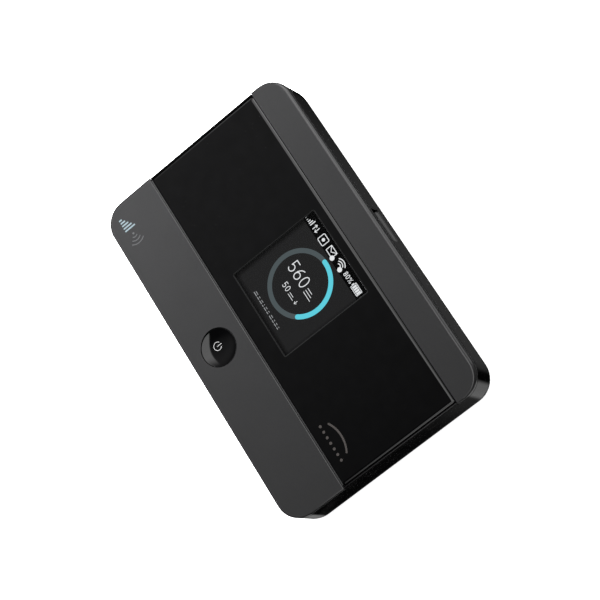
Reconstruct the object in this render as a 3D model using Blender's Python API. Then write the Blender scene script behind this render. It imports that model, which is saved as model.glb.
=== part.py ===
"""Pocket 4G hotspot lying on its back: rear cover, battery, electronics and front shell.

Every size is in metres. +X runs along the long side, +Y across it towards the menu key and
+Z out of the front face. The origin is the centre of the rear cover's flat face.
"""
import math

import bmesh
import bpy
from mathutils import Matrix, Vector

MM = 0.001
GAP = 0.3 * MM                    # clearance kept between neighbouring pieces
OVERLAP = 0.2 * MM                # how far joined solids run into each other

# Whole object
LENGTH = 106.2 * MM
WIDTH = 66.0 * MM
THICKNESS = 15.9 * MM
CORNER_RADIUS = 7.0 * MM
CORNER_STEPS = 10

# Rear cover
SPLIT_Z = 5.2 * MM                # parting line between rear cover and front housing
COVER_WALL = 1.2 * MM
COVER_CURVE = 5.0 * MM            # how far the cover's sides curve in at the bottom
COVER_CURVE_STEPS = 7
CLIP_LENGTH = 8.0 * MM
CLIP_THICKNESS = 1.0 * MM
CLIP_TOP = 7.6 * MM
CLIP_FOOT_Z = 3.4 * MM
CLIP_LONG_X = 30.0 * MM           # clips on the long sides, from the middle
CLIP_SHORT_Y = 13.0 * MM          # clips on the short sides, from the middle
NOTCH_X = 34.0 * MM
NOTCH_RADIUS = 7.0 * MM
NOTCH_DEPTH = 0.7 * MM

# Front housing
HOUSING_WALL = 1.4 * MM
RIM_TOP = 15.6 * MM
RIM_ROUNDING = 0.4 * MM
RIM_INNER_X = 52.5 * MM           # half length of the recess for the lens
DECK_TOP = 14.1 * MM
DECK_THICKNESS = 1.0 * MM
DECK_BOTTOM = DECK_TOP - DECK_THICKNESS
BOSS_X, BOSS_Y = 46.0 * MM, 26.0 * MM
BOSS_RADIUS = 2.3 * MM
BOSS_BOTTOM = 8.3 * MM
PILOT_TOP = 12.0 * MM

# Trim bands and lens
BAND_BOTTOM = DECK_TOP + GAP
BAND_EDGE_UPPER = 1.2 * MM        # edge rounding along the long side by the menu key
BAND_EDGE_LOWER = 0.35 * MM       # edge rounding along the long side by the power button
BAND_EDGE_SHORT = 0.35 * MM       # edge rounding at the short ends and the inner side
BAND_EDGE_STEPS = 5
BAND_HALF_X = LENGTH / 2          # the bands cover the rim at both ends
UPPER_BAND_Y = 23.5 * MM          # inner edge of the upper band
LOWER_BAND_Y = -14.7 * MM         # inner edge of the lower band
LENS_LOW_Y, LENS_HIGH_Y = -14.3 * MM, 23.2 * MM
LENS_HALF_X = 52.1 * MM
LENS_TOP = 15.7 * MM
LENS_THICKNESS = 0.85 * MM
LENS_BEVEL = 0.3 * MM
MASK_THICKNESS = 0.15 * MM
MASK_INSET = 0.3 * MM
MASK_CORNER = 0.4 * MM
LENS_CORNER = 0.5 * MM

# Display
WINDOW_HALF_X = 13.9 * MM
WINDOW_LOW_Y, WINDOW_HIGH_Y = -8.85 * MM, 19.9 * MM
WINDOW_CORNER = 0.3 * MM
DISPLAY_HALF_X = 16.0 * MM
DISPLAY_LOW_Y, DISPLAY_HIGH_Y = -12.4 * MM, 21.4 * MM
DISPLAY_CORNER = 0.5 * MM
PANEL_TOP = 13.9 * MM
PANEL_THICKNESS = 1.5 * MM
GASKET_WIDTH = 1.0 * MM
GASKET_THICKNESS = 1.0 * MM
TRAY_BOTTOM = 11.0 * MM
TRAY_WALL = 0.3 * MM
GUIDE_GAP = 0.05 * MM
FLEX_THICKNESS = 0.2 * MM
FLEX_HALF_WIDTH = 5.0 * MM
FLEX_BEND_OUT = 1.6 * MM          # how far the fold's centre lies outside the panel's edge
FLEX_RETURN = 3.0 * MM            # how far the ribbon runs back under the panel
FLEX_STEPS = 10

# Power button
BUTTON_Y = -23.6 * MM
BUTTON_RADIUS = 5.2 * MM
BUTTON_TOP = 15.65 * MM
BUTTON_DISH = 0.6 * MM
BUTTON_ROUNDING = 0.25 * MM
BUTTON_FLANGE_RADIUS = 6.2 * MM
BUTTON_FLANGE = 0.5 * MM
BUTTON_STEM_RADIUS = 1.2 * MM
BUTTON_STEM_BOTTOM = 12.05 * MM
BUTTON_STEPS = 48
DISH_STEPS = 8
POWER_SWITCH_HALF = 2.25 * MM
POWER_SWITCH_HEIGHT = 0.8 * MM
POWER_PLUNGER_RADIUS = 1.0 * MM
POWER_PLUNGER_TOP = 11.4 * MM

# Menu key in the long top side
KEY_X = 0.3 * MM
KEY_HALF_X = 5.3 * MM
KEY_LOW_Z, KEY_HIGH_Z = 8.8 * MM, 13.4 * MM
KEY_LIP_Z = 9.2 * MM              # top of the key's flush lower lip
KEY_COVE_Z = 10.8 * MM            # where the sloped face meets the deep face
KEY_DEEP = 1.3 * MM               # how far the deep face lies inside the wall's face
KEY_FLUSH = 0.1 * MM
KEY_TRAVEL = 0.5 * MM
KEY_BACK_Y = WIDTH / 2 - HOUSING_WALL - GAP
KEY_FLANGE = 0.9 * MM
KEY_FLANGE_REACH = 1.0 * MM       # how far the flange passes the key's ends
KEY_STEM_HALF_X = 1.2 * MM
KEY_STEM_LOW_Z, KEY_STEM_HIGH_Z = 10.4 * MM, 12.0 * MM
KEY_STEM_REACH = 1.75 * MM        # how far the stem reaches in behind the key
MENU_SWITCH_FACE_Y = KEY_BACK_Y - 2.7 * MM
MENU_SWITCH_HALF_X = 2.3 * MM
MENU_SWITCH_DEPTH = 2.6 * MM
MENU_SWITCH_TOP = 12.0 * MM
MENU_PLUNGER_HALF_X = 0.8 * MM
MENU_PLUNGER_REACH = 0.4 * MM
MENU_PLUNGER_LOW_Z, MENU_PLUNGER_HIGH_Z = 10.8 * MM, 11.6 * MM

# Circuit board and what it carries
BOARD_BOTTOM = 8.9 * MM
BOARD_THICKNESS = 1.0 * MM
BOARD_TOP = BOARD_BOTTOM + BOARD_THICKNESS
ABOVE_BOARD = BOARD_TOP + GAP
BELOW_BOARD = BOARD_BOTTOM - GAP
BOARD_HALF_X, BOARD_HALF_Y = 49.5 * MM, 29.4 * MM
BOARD_CORNER = 5.0 * MM
BOARD_SCREW_X, BOARD_SCREW_Y = 24.0 * MM, 26.0 * MM
USB_BOTTOM = 9.2 * MM
USB_HEIGHT = 2.7 * MM
USB_WIDTH = 7.6 * MM
USB_DEPTH = 5.6 * MM
USB_CORNER = 0.7 * MM
TONGUE_HALF_Y, TONGUE_HALF_Z = 2.6 * MM, 0.35 * MM
TONGUE_SETBACK = 1.2 * MM
SHEET = 0.3 * MM                  # thickness of every pressed metal sheet

# Plan limits (low x, high x, low y, high y) of what sits on the board, and heights
MODEM_CAN = (-41.0 * MM, -19.5 * MM, -14.0 * MM, 18.0 * MM)
MODEM_CAN_HEIGHT = 2.2 * MM
WIFI_CAN = (20.0 * MM, 40.0 * MM, -12.0 * MM, 14.0 * MM)
WIFI_CAN_HEIGHT = 2.0 * MM
CAN_CORNER = 0.8 * MM
MEMORY_CHIP = (-12.0 * MM, -1.0 * MM, 6.0 * MM, 17.0 * MM)
POWER_CHIP = (4.0 * MM, 11.0 * MM, -6.0 * MM, 1.0 * MM)
CHIP_TOP = 10.7 * MM
ANTENNA_NEAR_X, ANTENNA_FAR_X = 43.2 * MM, 49.2 * MM
ANTENNA_TOP = 12.7 * MM
ANTENNA_LEG = 3.0 * MM
MAIN_ANTENNA_HALF_Y = 20.0 * MM
SIDE_ANTENNA_Y = (7.0 * MM, 22.0 * MM)    # from the middle, on either side
SIM_SOCKET = (26.0 * MM, 44.0 * MM, -12.5 * MM, 1.5 * MM)
SIM_SOCKET_HEIGHT = 1.9 * MM
SIM_SLOT_WALL = 0.4 * MM
SIM_SLOT_HEIGHT = 1.1 * MM
SIM_SIDE_WALL = 0.6 * MM
SIM_CARD_LOW_X, SIM_CARD_HIGH_X = 24.6 * MM, 39.6 * MM
SIM_CARD_LOW_Y, SIM_CARD_HIGH_Y = -11.4 * MM, 0.6 * MM
SIM_CARD_CORNER = 2.5 * MM
SIM_CARD_THICKNESS = 0.6 * MM
MICROSD_SOCKET = (28.0 * MM, 42.0 * MM, 2.4 * MM, 13.4 * MM)
MICROSD_HEIGHT = 1.5 * MM
MICROSD_SLOT_HEIGHT = 0.7 * MM
SOCKET_END_WALL = 1.0 * MM

# Inner chassis, battery bay and card pocket
CHASSIS_HALF_X, CHASSIS_HALF_Y = 50.0 * MM, 29.9 * MM
CHASSIS_RADIUS = 5.5 * MM
CHASSIS_BOTTOM = 2.2 * MM
CHASSIS_WALL = 1.2 * MM
CHASSIS_TOP = 8.0 * MM
POST_TOP = CHASSIS_TOP - GAP
BAY_CEILING = 7.2 * MM
BAY_FLOOR_TOP = 8.0 * MM
BATTERY_LOW_X, BATTERY_HIGH_X = -44.0 * MM, 18.0 * MM
BATTERY_HALF_Y = 21.0 * MM
BATTERY_BOTTOM, BATTERY_TOP = 1.5 * MM, 6.5 * MM
BATTERY_CAP = 1.7 * MM
CELL_CORNER, CAP_CORNER = 1.5 * MM, 0.6 * MM
CONNECTOR_HALF_Y = 6.0 * MM
CONNECTOR_LOW_X, CONNECTOR_HIGH_X = 18.6 * MM, 22.2 * MM
CONNECTOR_BOTTOM = 3.9 * MM
BLADE_REACH = 0.4 * MM
BLADE_HALF_Y = 0.4 * MM
BLADE_LOW_Z, BLADE_HIGH_Z = 4.4 * MM, 5.8 * MM
BLADE_PITCH = 2.6 * MM
BLADE_COUNT = 4
CONTACT_DEPTH = 0.6 * MM
CONTACT_HALF_Y = 0.8 * MM
CONTACT_LOW_Z, CONTACT_HIGH_Z = 3.6 * MM, 5.9 * MM
POCKET_LOW_X, POCKET_HIGH_X = 24.0 * MM, 46.0 * MM
POCKET_HALF_Y = 14.0 * MM
RESET_X, RESET_Y = 34.0 * MM, 20.0 * MM
RESET_RADIUS = 0.9 * MM
RESET_BOTTOM, RESET_TOP = 2.6 * MM, 7.15 * MM
RESET_COLLAR_RADIUS = 1.6 * MM
RESET_COLLAR = 0.6 * MM
RESET_SWITCH_HALF = 1.5 * MM
RESET_SWITCH_HEIGHT = 0.7 * MM
RESET_PLUNGER_RADIUS = 0.7 * MM
RESET_PLUNGER_BOTTOM = 7.5 * MM
LABEL_HALF_Y = 14.0 * MM
LABEL_LOW_X, LABEL_HIGH_X = -38.0 * MM, 10.0 * MM
LABEL_THICKNESS = 0.1 * MM

# Fasteners
SCREW_RADIUS = 0.8 * MM
SCREW_HEAD_RADIUS = 1.5 * MM
SCREW_HEAD = 1.1 * MM
HOLE_RADIUS = SCREW_RADIUS + GAP
HEAD_SEAT = 0.5 * MM              # how far a long screw's head seat lies over the chassis deck
LONG_SCREW, SHORT_SCREW = 7.4 * MM, 5.0 * MM
RECESS_DEPTH = 0.5 * MM
RECESS_ARM, RECESS_HALF_WIDTH = 0.9 * MM, 0.22 * MM
ROUND_STEPS = 24


# Geometry helpers -------------------------------------------------------------------------

def rounded_rect(half_x, half_y, radius, steps=CORNER_STEPS):
    """Outline of a rounded rectangle round the origin, counter-clockwise."""
    points = []
    for quadrant in range(4):
        side_x = 1 if quadrant in (0, 3) else -1
        side_y = 1 if quadrant in (0, 1) else -1
        for step in range(steps + 1):
            angle = math.pi / 2 * (quadrant + step / steps)
            x = side_x * (half_x - radius) + radius * math.cos(angle)
            y = side_y * (half_y - radius) + radius * math.sin(angle)
            points.append((x, y))
    return points


def ring(outline, z):
    """The outline's points lifted to the height z."""
    return [Vector((x, y, z)) for x, y in outline]


def loft(rings):
    """Closed solid through rings of equal point count, capped at the first and the last."""
    bm = bmesh.new()
    loops = [[bm.verts.new(point) for point in points] for points in rings]
    count = len(loops[0])
    for lower, upper in zip(loops, loops[1:]):
        for i in range(count):
            j = (i + 1) % count
            bm.faces.new((lower[i], lower[j], upper[j], upper[i]))
    bm.faces.new(loops[0])
    bm.faces.new(loops[-1])
    bmesh.ops.recalc_face_normals(bm, faces=bm.faces)
    return bm


def prism(outline, low_z, high_z):
    """Straight extrusion of an outline between two heights."""
    return loft([ring(outline, low_z), ring(outline, high_z)])


def block(low_x, high_x, low_y, high_y, low_z, high_z):
    """Box between the given limits."""
    outline = [(low_x, low_y), (high_x, low_y), (high_x, high_y), (low_x, high_y)]
    return prism(outline, low_z, high_z)


def soft_block(low_x, high_x, low_y, high_y, low_z, high_z, radius):
    """Box whose upright edges are rounded."""
    outline = rounded_rect((high_x - low_x) / 2, (high_y - low_y) / 2, radius, 4)
    bm = prism(outline, low_z, high_z)
    middle = Vector(((low_x + high_x) / 2, (low_y + high_y) / 2, 0))
    bmesh.ops.translate(bm, vec=middle, verts=bm.verts)
    return bm


def turned(profile, steps=ROUND_STEPS):
    """Solid of revolution round Z from (radius, z) points, which start and end on the axis."""
    bm = bmesh.new()
    bottom = bm.verts.new((0, 0, profile[0][1]))
    top = bm.verts.new((0, 0, profile[-1][1]))
    loops = []
    for radius, z in profile[1:-1]:
        angles = [math.tau * step / steps for step in range(steps)]
        loops.append([bm.verts.new((radius * math.cos(a), radius * math.sin(a), z)) for a in angles])
    for i in range(steps):
        j = (i + 1) % steps
        bm.faces.new((bottom, loops[0][j], loops[0][i]))
        bm.faces.new((top, loops[-1][i], loops[-1][j]))
        for lower, upper in zip(loops, loops[1:]):
            bm.faces.new((lower[i], lower[j], upper[j], upper[i]))
    bmesh.ops.recalc_face_normals(bm, faces=bm.faces)
    return bm


def cylinder(x, y, radius, low_z, high_z, steps=ROUND_STEPS):
    """Upright cylinder at (x, y)."""
    bm = turned([(0, low_z), (radius, low_z), (radius, high_z), (0, high_z)], steps)
    bmesh.ops.translate(bm, vec=Vector((x, y, 0)), verts=bm.verts)
    return bm


def extruded_along_x(profile, low_x, high_x):
    """Prism whose (y, z) profile runs from low_x to high_x."""
    rings = [[Vector((x, y, z)) for y, z in profile] for x in (low_x, high_x)]
    return loft(rings)


def window_plate(outer, inner, low_z, high_z):
    """Flat frame between two outlines of equal point count."""
    bm = bmesh.new()
    rings = [ring(outer, low_z), ring(outer, high_z), ring(inner, high_z), ring(inner, low_z)]
    loops = [[bm.verts.new(point) for point in points] for points in rings]
    count = len(outer)
    for k, loop in enumerate(loops):
        following = loops[(k + 1) % len(loops)]
        for i in range(count):
            j = (i + 1) % count
            bm.faces.new((loop[i], loop[j], following[j], following[i]))
    bmesh.ops.recalc_face_normals(bm, faces=bm.faces)
    return bm


def merged(shapes):
    """One mesh that holds several separate solids."""
    whole = bmesh.new()
    for shape in shapes:
        holder = bpy.data.meshes.new("holder")
        shape.to_mesh(holder)
        shape.free()
        whole.from_mesh(holder)
        bpy.data.meshes.remove(holder)
    return whole


def shifted(outline, x, y):
    """The outline moved by (x, y)."""
    return [(px + x, py + y) for px, py in outline]


# Scene helpers ----------------------------------------------------------------------------

def clear_scene():
    for thing in list(bpy.data.objects):
        bpy.data.objects.remove(thing, do_unlink=True)


def material(name, colour, roughness, metallic=0.0, transmission=0.0):
    """Principled material of one colour."""
    result = bpy.data.materials.new(name)
    result.use_nodes = True
    shader = result.node_tree.nodes["Principled BSDF"]
    shader.inputs["Base Color"].default_value = (*colour, 1.0)
    shader.inputs["Roughness"].default_value = roughness
    shader.inputs["Metallic"].default_value = metallic
    shader.inputs["Transmission Weight"].default_value = transmission
    result.diffuse_color = (*colour, 1.0)
    return result


def body(name, location):
    """Empty that stands for one rigid body, on its joint's axis."""
    empty = bpy.data.objects.new(name, None)
    empty.location = location
    empty.empty_display_size = 5 * MM
    bpy.context.collection.objects.link(empty)
    return empty


def piece(name, bm, finish, parent, smooth_angle=35.0):
    """Turn a mesh in world coordinates into a named object on a body."""
    mesh = bpy.data.meshes.new(name)
    anchor = Vector(parent.location)
    bmesh.ops.translate(bm, vec=-anchor, verts=bm.verts)
    bm.to_mesh(mesh)
    bm.free()
    mesh.materials.append(finish)
    mesh.shade_smooth()
    mesh.set_sharp_from_angle(angle=math.radians(smooth_angle))
    thing = bpy.data.objects.new(name, mesh)
    thing.parent = parent
    bpy.context.collection.objects.link(thing)
    return thing


def tool(target, bm, operation, name):
    """Hidden solid that is cut from the target, or joined to it."""
    mesh = bpy.data.meshes.new(name)
    anchor = Vector(target.parent.location)
    bmesh.ops.translate(bm, vec=-anchor, verts=bm.verts)
    bm.to_mesh(mesh)
    bm.free()
    helper = bpy.data.objects.new(name, mesh)
    helper.parent = target.parent
    helper.hide_render = True
    helper.display_type = 'WIRE'
    bpy.context.collection.objects.link(helper)
    boolean = target.modifiers.new(name, 'BOOLEAN')
    boolean.operation = operation
    boolean.object = helper
    boolean.solver = 'EXACT'


def cut(target, bm, name):
    tool(target, bm, 'DIFFERENCE', target.name + "_" + name)


def join(target, bm, name):
    tool(target, bm, 'UNION', target.name + "_" + name)


def four_corners(x, y):
    return [(sx * x, sy * y) for sx, sy in ((1, 1), (-1, 1), (-1, -1), (1, -1))]


# Rear cover -------------------------------------------------------------------------------

def cover_inset(z):
    """How far the cover's outer side lies inside the plan outline at the height z."""
    drop = min(1.0, max(0.0, (SPLIT_Z - z) / SPLIT_Z))
    return COVER_CURVE * (1 - math.sqrt(1 - drop * drop))


def inset_ring(inset, z):
    outline = rounded_rect(LENGTH / 2 - inset, WIDTH / 2 - inset, CORNER_RADIUS - inset)
    return ring(outline, z)


def cover_clip(target, side_x, side_y, at):
    """Upright tongue on a foot inside the cover's wall, on the side that (side_x, side_y) faces."""
    reach = LENGTH / 2 if side_x else WIDTH / 2
    outer = reach - HOUSING_WALL - GAP
    inner = outer - CLIP_THICKNESS
    foot_outer = reach - COVER_WALL / 2
    low, high = at - CLIP_LENGTH / 2, at + CLIP_LENGTH / 2
    label = "clip_%+d_%+d_%d" % (side_x, side_y, round(at / MM))
    foot_top = SPLIT_Z - GAP
    for part, limit, bottom, top in (("foot", foot_outer, CLIP_FOOT_Z, foot_top),
                                     ("tongue", outer, CLIP_FOOT_Z, CLIP_TOP)):
        if side_x:
            ends = sorted((side_x * inner, side_x * limit))
            shape = block(ends[0], ends[1], low, high, bottom, top)
        else:
            ends = sorted((side_y * inner, side_y * limit))
            shape = block(low, high, ends[0], ends[1], bottom, top)
        join(target, shape, label + "_" + part)


def rear_cover(parent, finish):
    """Shallow shell with curved-in sides, clip tongues and a nail notch in its edge."""
    top = SPLIT_Z - GAP / 2
    angles = [math.pi / 2 * step / COVER_CURVE_STEPS for step in range(COVER_CURVE_STEPS + 1)]
    heights = [top * (1 - math.cos(angle)) for angle in angles]
    outer = [inset_ring(cover_inset(z), z) for z in heights]
    inner_heights = [z for z in reversed(heights) if z > COVER_WALL] + [COVER_WALL]
    inner = [inset_ring(cover_inset(z - COVER_WALL / 2) + COVER_WALL, z) for z in inner_heights]
    cover = piece("rear_cover", loft(outer + inner), finish, parent)
    for side in (1, -1):
        for at in (-CLIP_LONG_X, CLIP_LONG_X):
            cover_clip(cover, 0, side, at)
        for at in (-CLIP_SHORT_Y, CLIP_SHORT_Y):
            cover_clip(cover, side, 0, at)
    notch = bmesh.new()
    bmesh.ops.create_uvsphere(notch, u_segments=40, v_segments=20, radius=NOTCH_RADIUS)
    place = Vector((NOTCH_X, -WIDTH / 2 - NOTCH_RADIUS + NOTCH_DEPTH, SPLIT_Z))
    bmesh.ops.translate(notch, vec=place, verts=notch.verts)
    cut(cover, notch, "nail_notch")


# Front shell ------------------------------------------------------------------------------

def front_housing(parent, finish):
    """Side walls, rim and front deck in one moulding, with its screw bosses."""
    low = SPLIT_Z + GAP / 2
    rounding = []
    for step in range(4):
        angle = math.pi / 2 * step / 3
        inset = RIM_ROUNDING * (1 - math.cos(angle))
        rounding.append(inset_ring(inset, RIM_TOP - RIM_ROUNDING + RIM_ROUNDING * math.sin(angle)))
    rings = [inset_ring(HOUSING_WALL, DECK_BOTTOM), inset_ring(HOUSING_WALL, low), inset_ring(0, low)]
    housing = piece("front_housing", loft(rings + rounding), finish, parent)
    bosses = four_corners(BOSS_X, BOSS_Y)
    boss_top = DECK_BOTTOM + DECK_THICKNESS / 2
    stems = [cylinder(x, y, BOSS_RADIUS, BOSS_BOTTOM, boss_top) for x, y in bosses]
    join(housing, merged(stems), "bosses")
    pilots = [cylinder(x, y, HOLE_RADIUS, BOSS_BOTTOM - MM, PILOT_TOP) for x, y in bosses]
    cut(housing, merged(pilots), "pilots")
    above = THICKNESS + MM
    recess = rounded_rect(RIM_INNER_X, WIDTH / 2 + GAP, CORNER_RADIUS - GAP / 2)
    cut(housing, prism(recess, DECK_TOP, above), "recess")
    far_x, far_y = LENGTH / 2 + MM, WIDTH / 2 + MM
    ledges = [block(-far_x, far_x, UPPER_BAND_Y - GAP, far_y, DECK_TOP, above),
              block(-far_x, far_x, -far_y, LOWER_BAND_Y + GAP, DECK_TOP, above)]
    cut(housing, merged(ledges), "band_ledges")
    margin = GAP + GASKET_WIDTH + GAP
    opening = block(-DISPLAY_HALF_X - margin, DISPLAY_HALF_X + margin, DISPLAY_LOW_Y - margin,
                    DISPLAY_HIGH_Y + margin, DECK_BOTTOM - MM, above)
    cut(housing, opening, "display_opening")
    hole = cylinder(0, BUTTON_Y, BUTTON_RADIUS + GAP, DECK_BOTTOM - MM, above, BUTTON_STEPS)
    cut(housing, hole, "button_hole")
    slot_low_y = KEY_BACK_Y - KEY_TRAVEL - GAP
    slot = block(KEY_X - KEY_HALF_X - GAP, KEY_X + KEY_HALF_X + GAP, slot_low_y, WIDTH / 2 + MM,
                 KEY_LOW_Z - GAP, KEY_HIGH_Z + GAP)
    cut(housing, slot, "key_slot")
    usb_half = USB_WIDTH / 2 + GAP
    port = block(-LENGTH / 2 - MM, -LENGTH / 2 + HOUSING_WALL + MM / 2, -usb_half, usb_half,
                 USB_BOTTOM - GAP, USB_BOTTOM + USB_HEIGHT + GAP)
    cut(housing, port, "port_opening")


def band_outline(inner_y):
    """Points and outward normals of the band between inner_y and the long outer side."""
    radius = CORNER_RADIUS
    side = 1 if inner_y > 0 else -1
    points = [(Vector((BAND_HALF_X, inner_y)), Vector((1, -side)))]
    for end in (1, -1):
        steps = range(CORNER_STEPS + 1) if end > 0 else range(CORNER_STEPS, -1, -1)
        for step in steps:
            angle = math.pi / 2 * step / CORNER_STEPS
            normal = Vector((end * math.cos(angle), side * math.sin(angle)))
            centre = Vector((end * (BAND_HALF_X - radius), side * (WIDTH / 2 - radius)))
            points.append((centre + radius * normal, normal))
    points.append((Vector((-BAND_HALF_X, inner_y)), Vector((-1, -side))))
    return points


def band(name, inner_y, long_edge, parent, finish):
    """Trim plate whose edge rolls over by long_edge along the long side and tightly elsewhere."""
    outline = band_outline(inner_y)
    rings = [[Vector((p.x, p.y, BAND_BOTTOM)) for p, _ in outline]]
    for step in range(BAND_EDGE_STEPS + 1):
        angle = math.pi / 2 * step / BAND_EDGE_STEPS
        points = []
        for p, normal in outline:
            outward = normal.y * math.copysign(1, inner_y)
            along = max(0.0, outward) ** 2
            edge = BAND_EDGE_SHORT + (long_edge - BAND_EDGE_SHORT) * along
            place = p - normal * edge * (1 - math.cos(angle))
            points.append(Vector((place.x, place.y, THICKNESS - edge * (1 - math.sin(angle)))))
        rings.append(points)
    return piece(name, loft(rings), finish, parent)


def window_lens(parent, finish):
    """Clear strip over the display, with a bevelled front edge."""
    half_y = (LENS_HIGH_Y - LENS_LOW_Y) / 2
    middle = (LENS_HIGH_Y + LENS_LOW_Y) / 2
    full = shifted(rounded_rect(LENS_HALF_X, half_y, LENS_CORNER, 3), 0, middle)
    small = rounded_rect(LENS_HALF_X - LENS_BEVEL, half_y - LENS_BEVEL, LENS_CORNER - LENS_BEVEL / 2, 3)
    rings = [ring(full, LENS_TOP - LENS_THICKNESS), ring(full, LENS_TOP - LENS_BEVEL),
             ring(shifted(small, 0, middle), LENS_TOP)]
    piece("window_lens", loft(rings), finish, parent)


def lens_mask(parent, finish):
    """Opaque layer behind the lens with the display window left open."""
    half_y = (LENS_HIGH_Y - LENS_LOW_Y) / 2 - MASK_INSET
    outer = rounded_rect(LENS_HALF_X - MASK_INSET, half_y, MASK_CORNER, 2)
    outer = shifted(outer, 0, (LENS_HIGH_Y + LENS_LOW_Y) / 2)
    inner = rounded_rect(WINDOW_HALF_X, (WINDOW_HIGH_Y - WINDOW_LOW_Y) / 2, WINDOW_CORNER, 2)
    inner = shifted(inner, 0, (WINDOW_HIGH_Y + WINDOW_LOW_Y) / 2)
    low = DECK_TOP + GAP
    piece("lens_mask", window_plate(outer, inner, low, low + MASK_THICKNESS), finish, parent)


# Display module ---------------------------------------------------------------------------

def display_outline(grow=0.0):
    half_y = (DISPLAY_HIGH_Y - DISPLAY_LOW_Y) / 2
    outline = rounded_rect(DISPLAY_HALF_X + grow, half_y + grow, DISPLAY_CORNER, 2)
    return shifted(outline, 0, (DISPLAY_HIGH_Y + DISPLAY_LOW_Y) / 2)


def display_module(parent, glass, foam, steel, acrylic, film):
    """Panel, foam surround, backlight and the folded flex that leads to the board."""
    panel_bottom = PANEL_TOP - PANEL_THICKNESS
    piece("display_panel", prism(display_outline(), panel_bottom, PANEL_TOP), glass, parent)
    surround = window_plate(display_outline(GAP + GASKET_WIDTH), display_outline(GAP),
                            PANEL_TOP - GASKET_THICKNESS, PANEL_TOP)
    piece("display_gasket", surround, foam, parent)
    tray_top = panel_bottom - GAP
    floor_top = TRAY_BOTTOM + TRAY_WALL
    tray = loft([ring(display_outline(), TRAY_BOTTOM), ring(display_outline(), tray_top),
                 ring(display_outline(-TRAY_WALL), tray_top), ring(display_outline(-TRAY_WALL), floor_top)])
    piece("backlight_tray", tray, steel, parent)
    guide = prism(display_outline(-TRAY_WALL - GAP), floor_top + GAP, tray_top - GUIDE_GAP)
    piece("light_guide", guide, acrylic, parent)
    piece("display_flex", display_flex(), film, parent)


def display_flex():
    """Thin ribbon that folds from the panel's lower edge down to the board."""
    upper_z = PANEL_TOP - GASKET_THICKNESS - GAP
    bend = (upper_z - ABOVE_BOARD) / 2
    tight = bend - FLEX_THICKNESS
    bend_y = DISPLAY_LOW_Y - GAP - FLEX_BEND_OUT
    middle_z = upper_z - bend
    angles = [math.pi / 2 + math.pi * step / FLEX_STEPS for step in range(FLEX_STEPS + 1)]
    outer = [(bend_y + bend * math.cos(a), middle_z + bend * math.sin(a)) for a in angles]
    inner = [(bend_y + tight * math.cos(a), middle_z + tight * math.sin(a)) for a in reversed(angles)]
    start_y = DISPLAY_LOW_Y - GAP
    end_y = DISPLAY_LOW_Y + FLEX_RETURN
    profile = [(start_y, upper_z)] + outer + [(end_y, middle_z - bend), (end_y, middle_z - tight)]
    profile += inner + [(start_y, middle_z + tight)]
    return extruded_along_x(profile, -FLEX_HALF_WIDTH, FLEX_HALF_WIDTH)


# Buttons and switches ---------------------------------------------------------------------

def power_button(parent, finish):
    """Round cap with a dished top, a retaining flange and a short stem."""
    flange_top = DECK_BOTTOM - GAP
    rim_radius = BUTTON_RADIUS - BUTTON_ROUNDING
    profile = [(0, BUTTON_STEM_BOTTOM), (BUTTON_STEM_RADIUS, BUTTON_STEM_BOTTOM),
               (BUTTON_STEM_RADIUS, flange_top - BUTTON_FLANGE),
               (BUTTON_FLANGE_RADIUS, flange_top - BUTTON_FLANGE),
               (BUTTON_FLANGE_RADIUS, flange_top), (BUTTON_RADIUS, flange_top)]
    for step in range(4):
        angle = math.pi / 2 * step / 3
        z = BUTTON_TOP - BUTTON_ROUNDING * (1 - math.sin(angle))
        profile.append((rim_radius + BUTTON_ROUNDING * math.cos(angle), z))
    for step in range(1, DISH_STEPS):
        share = 1 - step / DISH_STEPS
        profile.append((rim_radius * share, BUTTON_TOP - BUTTON_DISH * (1 - share ** 3)))
    profile.append((0, BUTTON_TOP - BUTTON_DISH))
    bm = turned(profile, BUTTON_STEPS)
    bmesh.ops.translate(bm, vec=Vector((0, BUTTON_Y, 0)), verts=bm.verts)
    piece("power_button", bm, finish, parent)


def power_switch(parent, finish):
    """Low tactile switch under the power button."""
    top = ABOVE_BOARD + POWER_SWITCH_HEIGHT
    half = POWER_SWITCH_HALF
    housing = soft_block(-half, half, BUTTON_Y - half, BUTTON_Y + half, ABOVE_BOARD, top, 0.4 * MM)
    switch = piece("power_switch", housing, finish, parent)
    plunger = cylinder(0, BUTTON_Y, POWER_PLUNGER_RADIUS, top - OVERLAP, POWER_PLUNGER_TOP)
    join(switch, plunger, "plunger")


def menu_key(parent, finish):
    """Bar key with a sloped lower lip and a deep upper face, a flange and a stem."""
    outer_y = WIDTH / 2 - KEY_FLUSH
    deep_y = WIDTH / 2 - KEY_DEEP
    profile = [(KEY_BACK_Y, KEY_LOW_Z), (outer_y, KEY_LOW_Z), (outer_y, KEY_LIP_Z), (deep_y, KEY_COVE_Z),
               (deep_y, KEY_HIGH_Z), (KEY_BACK_Y, KEY_HIGH_Z)]
    bar = extruded_along_x(profile, KEY_X - KEY_HALF_X, KEY_X + KEY_HALF_X)
    key = piece("menu_key", bar, finish, parent)
    reach = KEY_HALF_X + KEY_FLANGE_REACH
    flange = block(KEY_X - reach, KEY_X + reach, KEY_BACK_Y - KEY_FLANGE, KEY_BACK_Y, KEY_LIP_Z,
                   DECK_BOTTOM - GAP)
    join(key, flange, "flange")
    stem = block(KEY_X - KEY_STEM_HALF_X, KEY_X + KEY_STEM_HALF_X, KEY_BACK_Y - KEY_STEM_REACH,
                 KEY_BACK_Y - KEY_FLANGE + OVERLAP, KEY_STEM_LOW_Z, KEY_STEM_HIGH_Z)
    join(key, stem, "stem")


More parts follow.
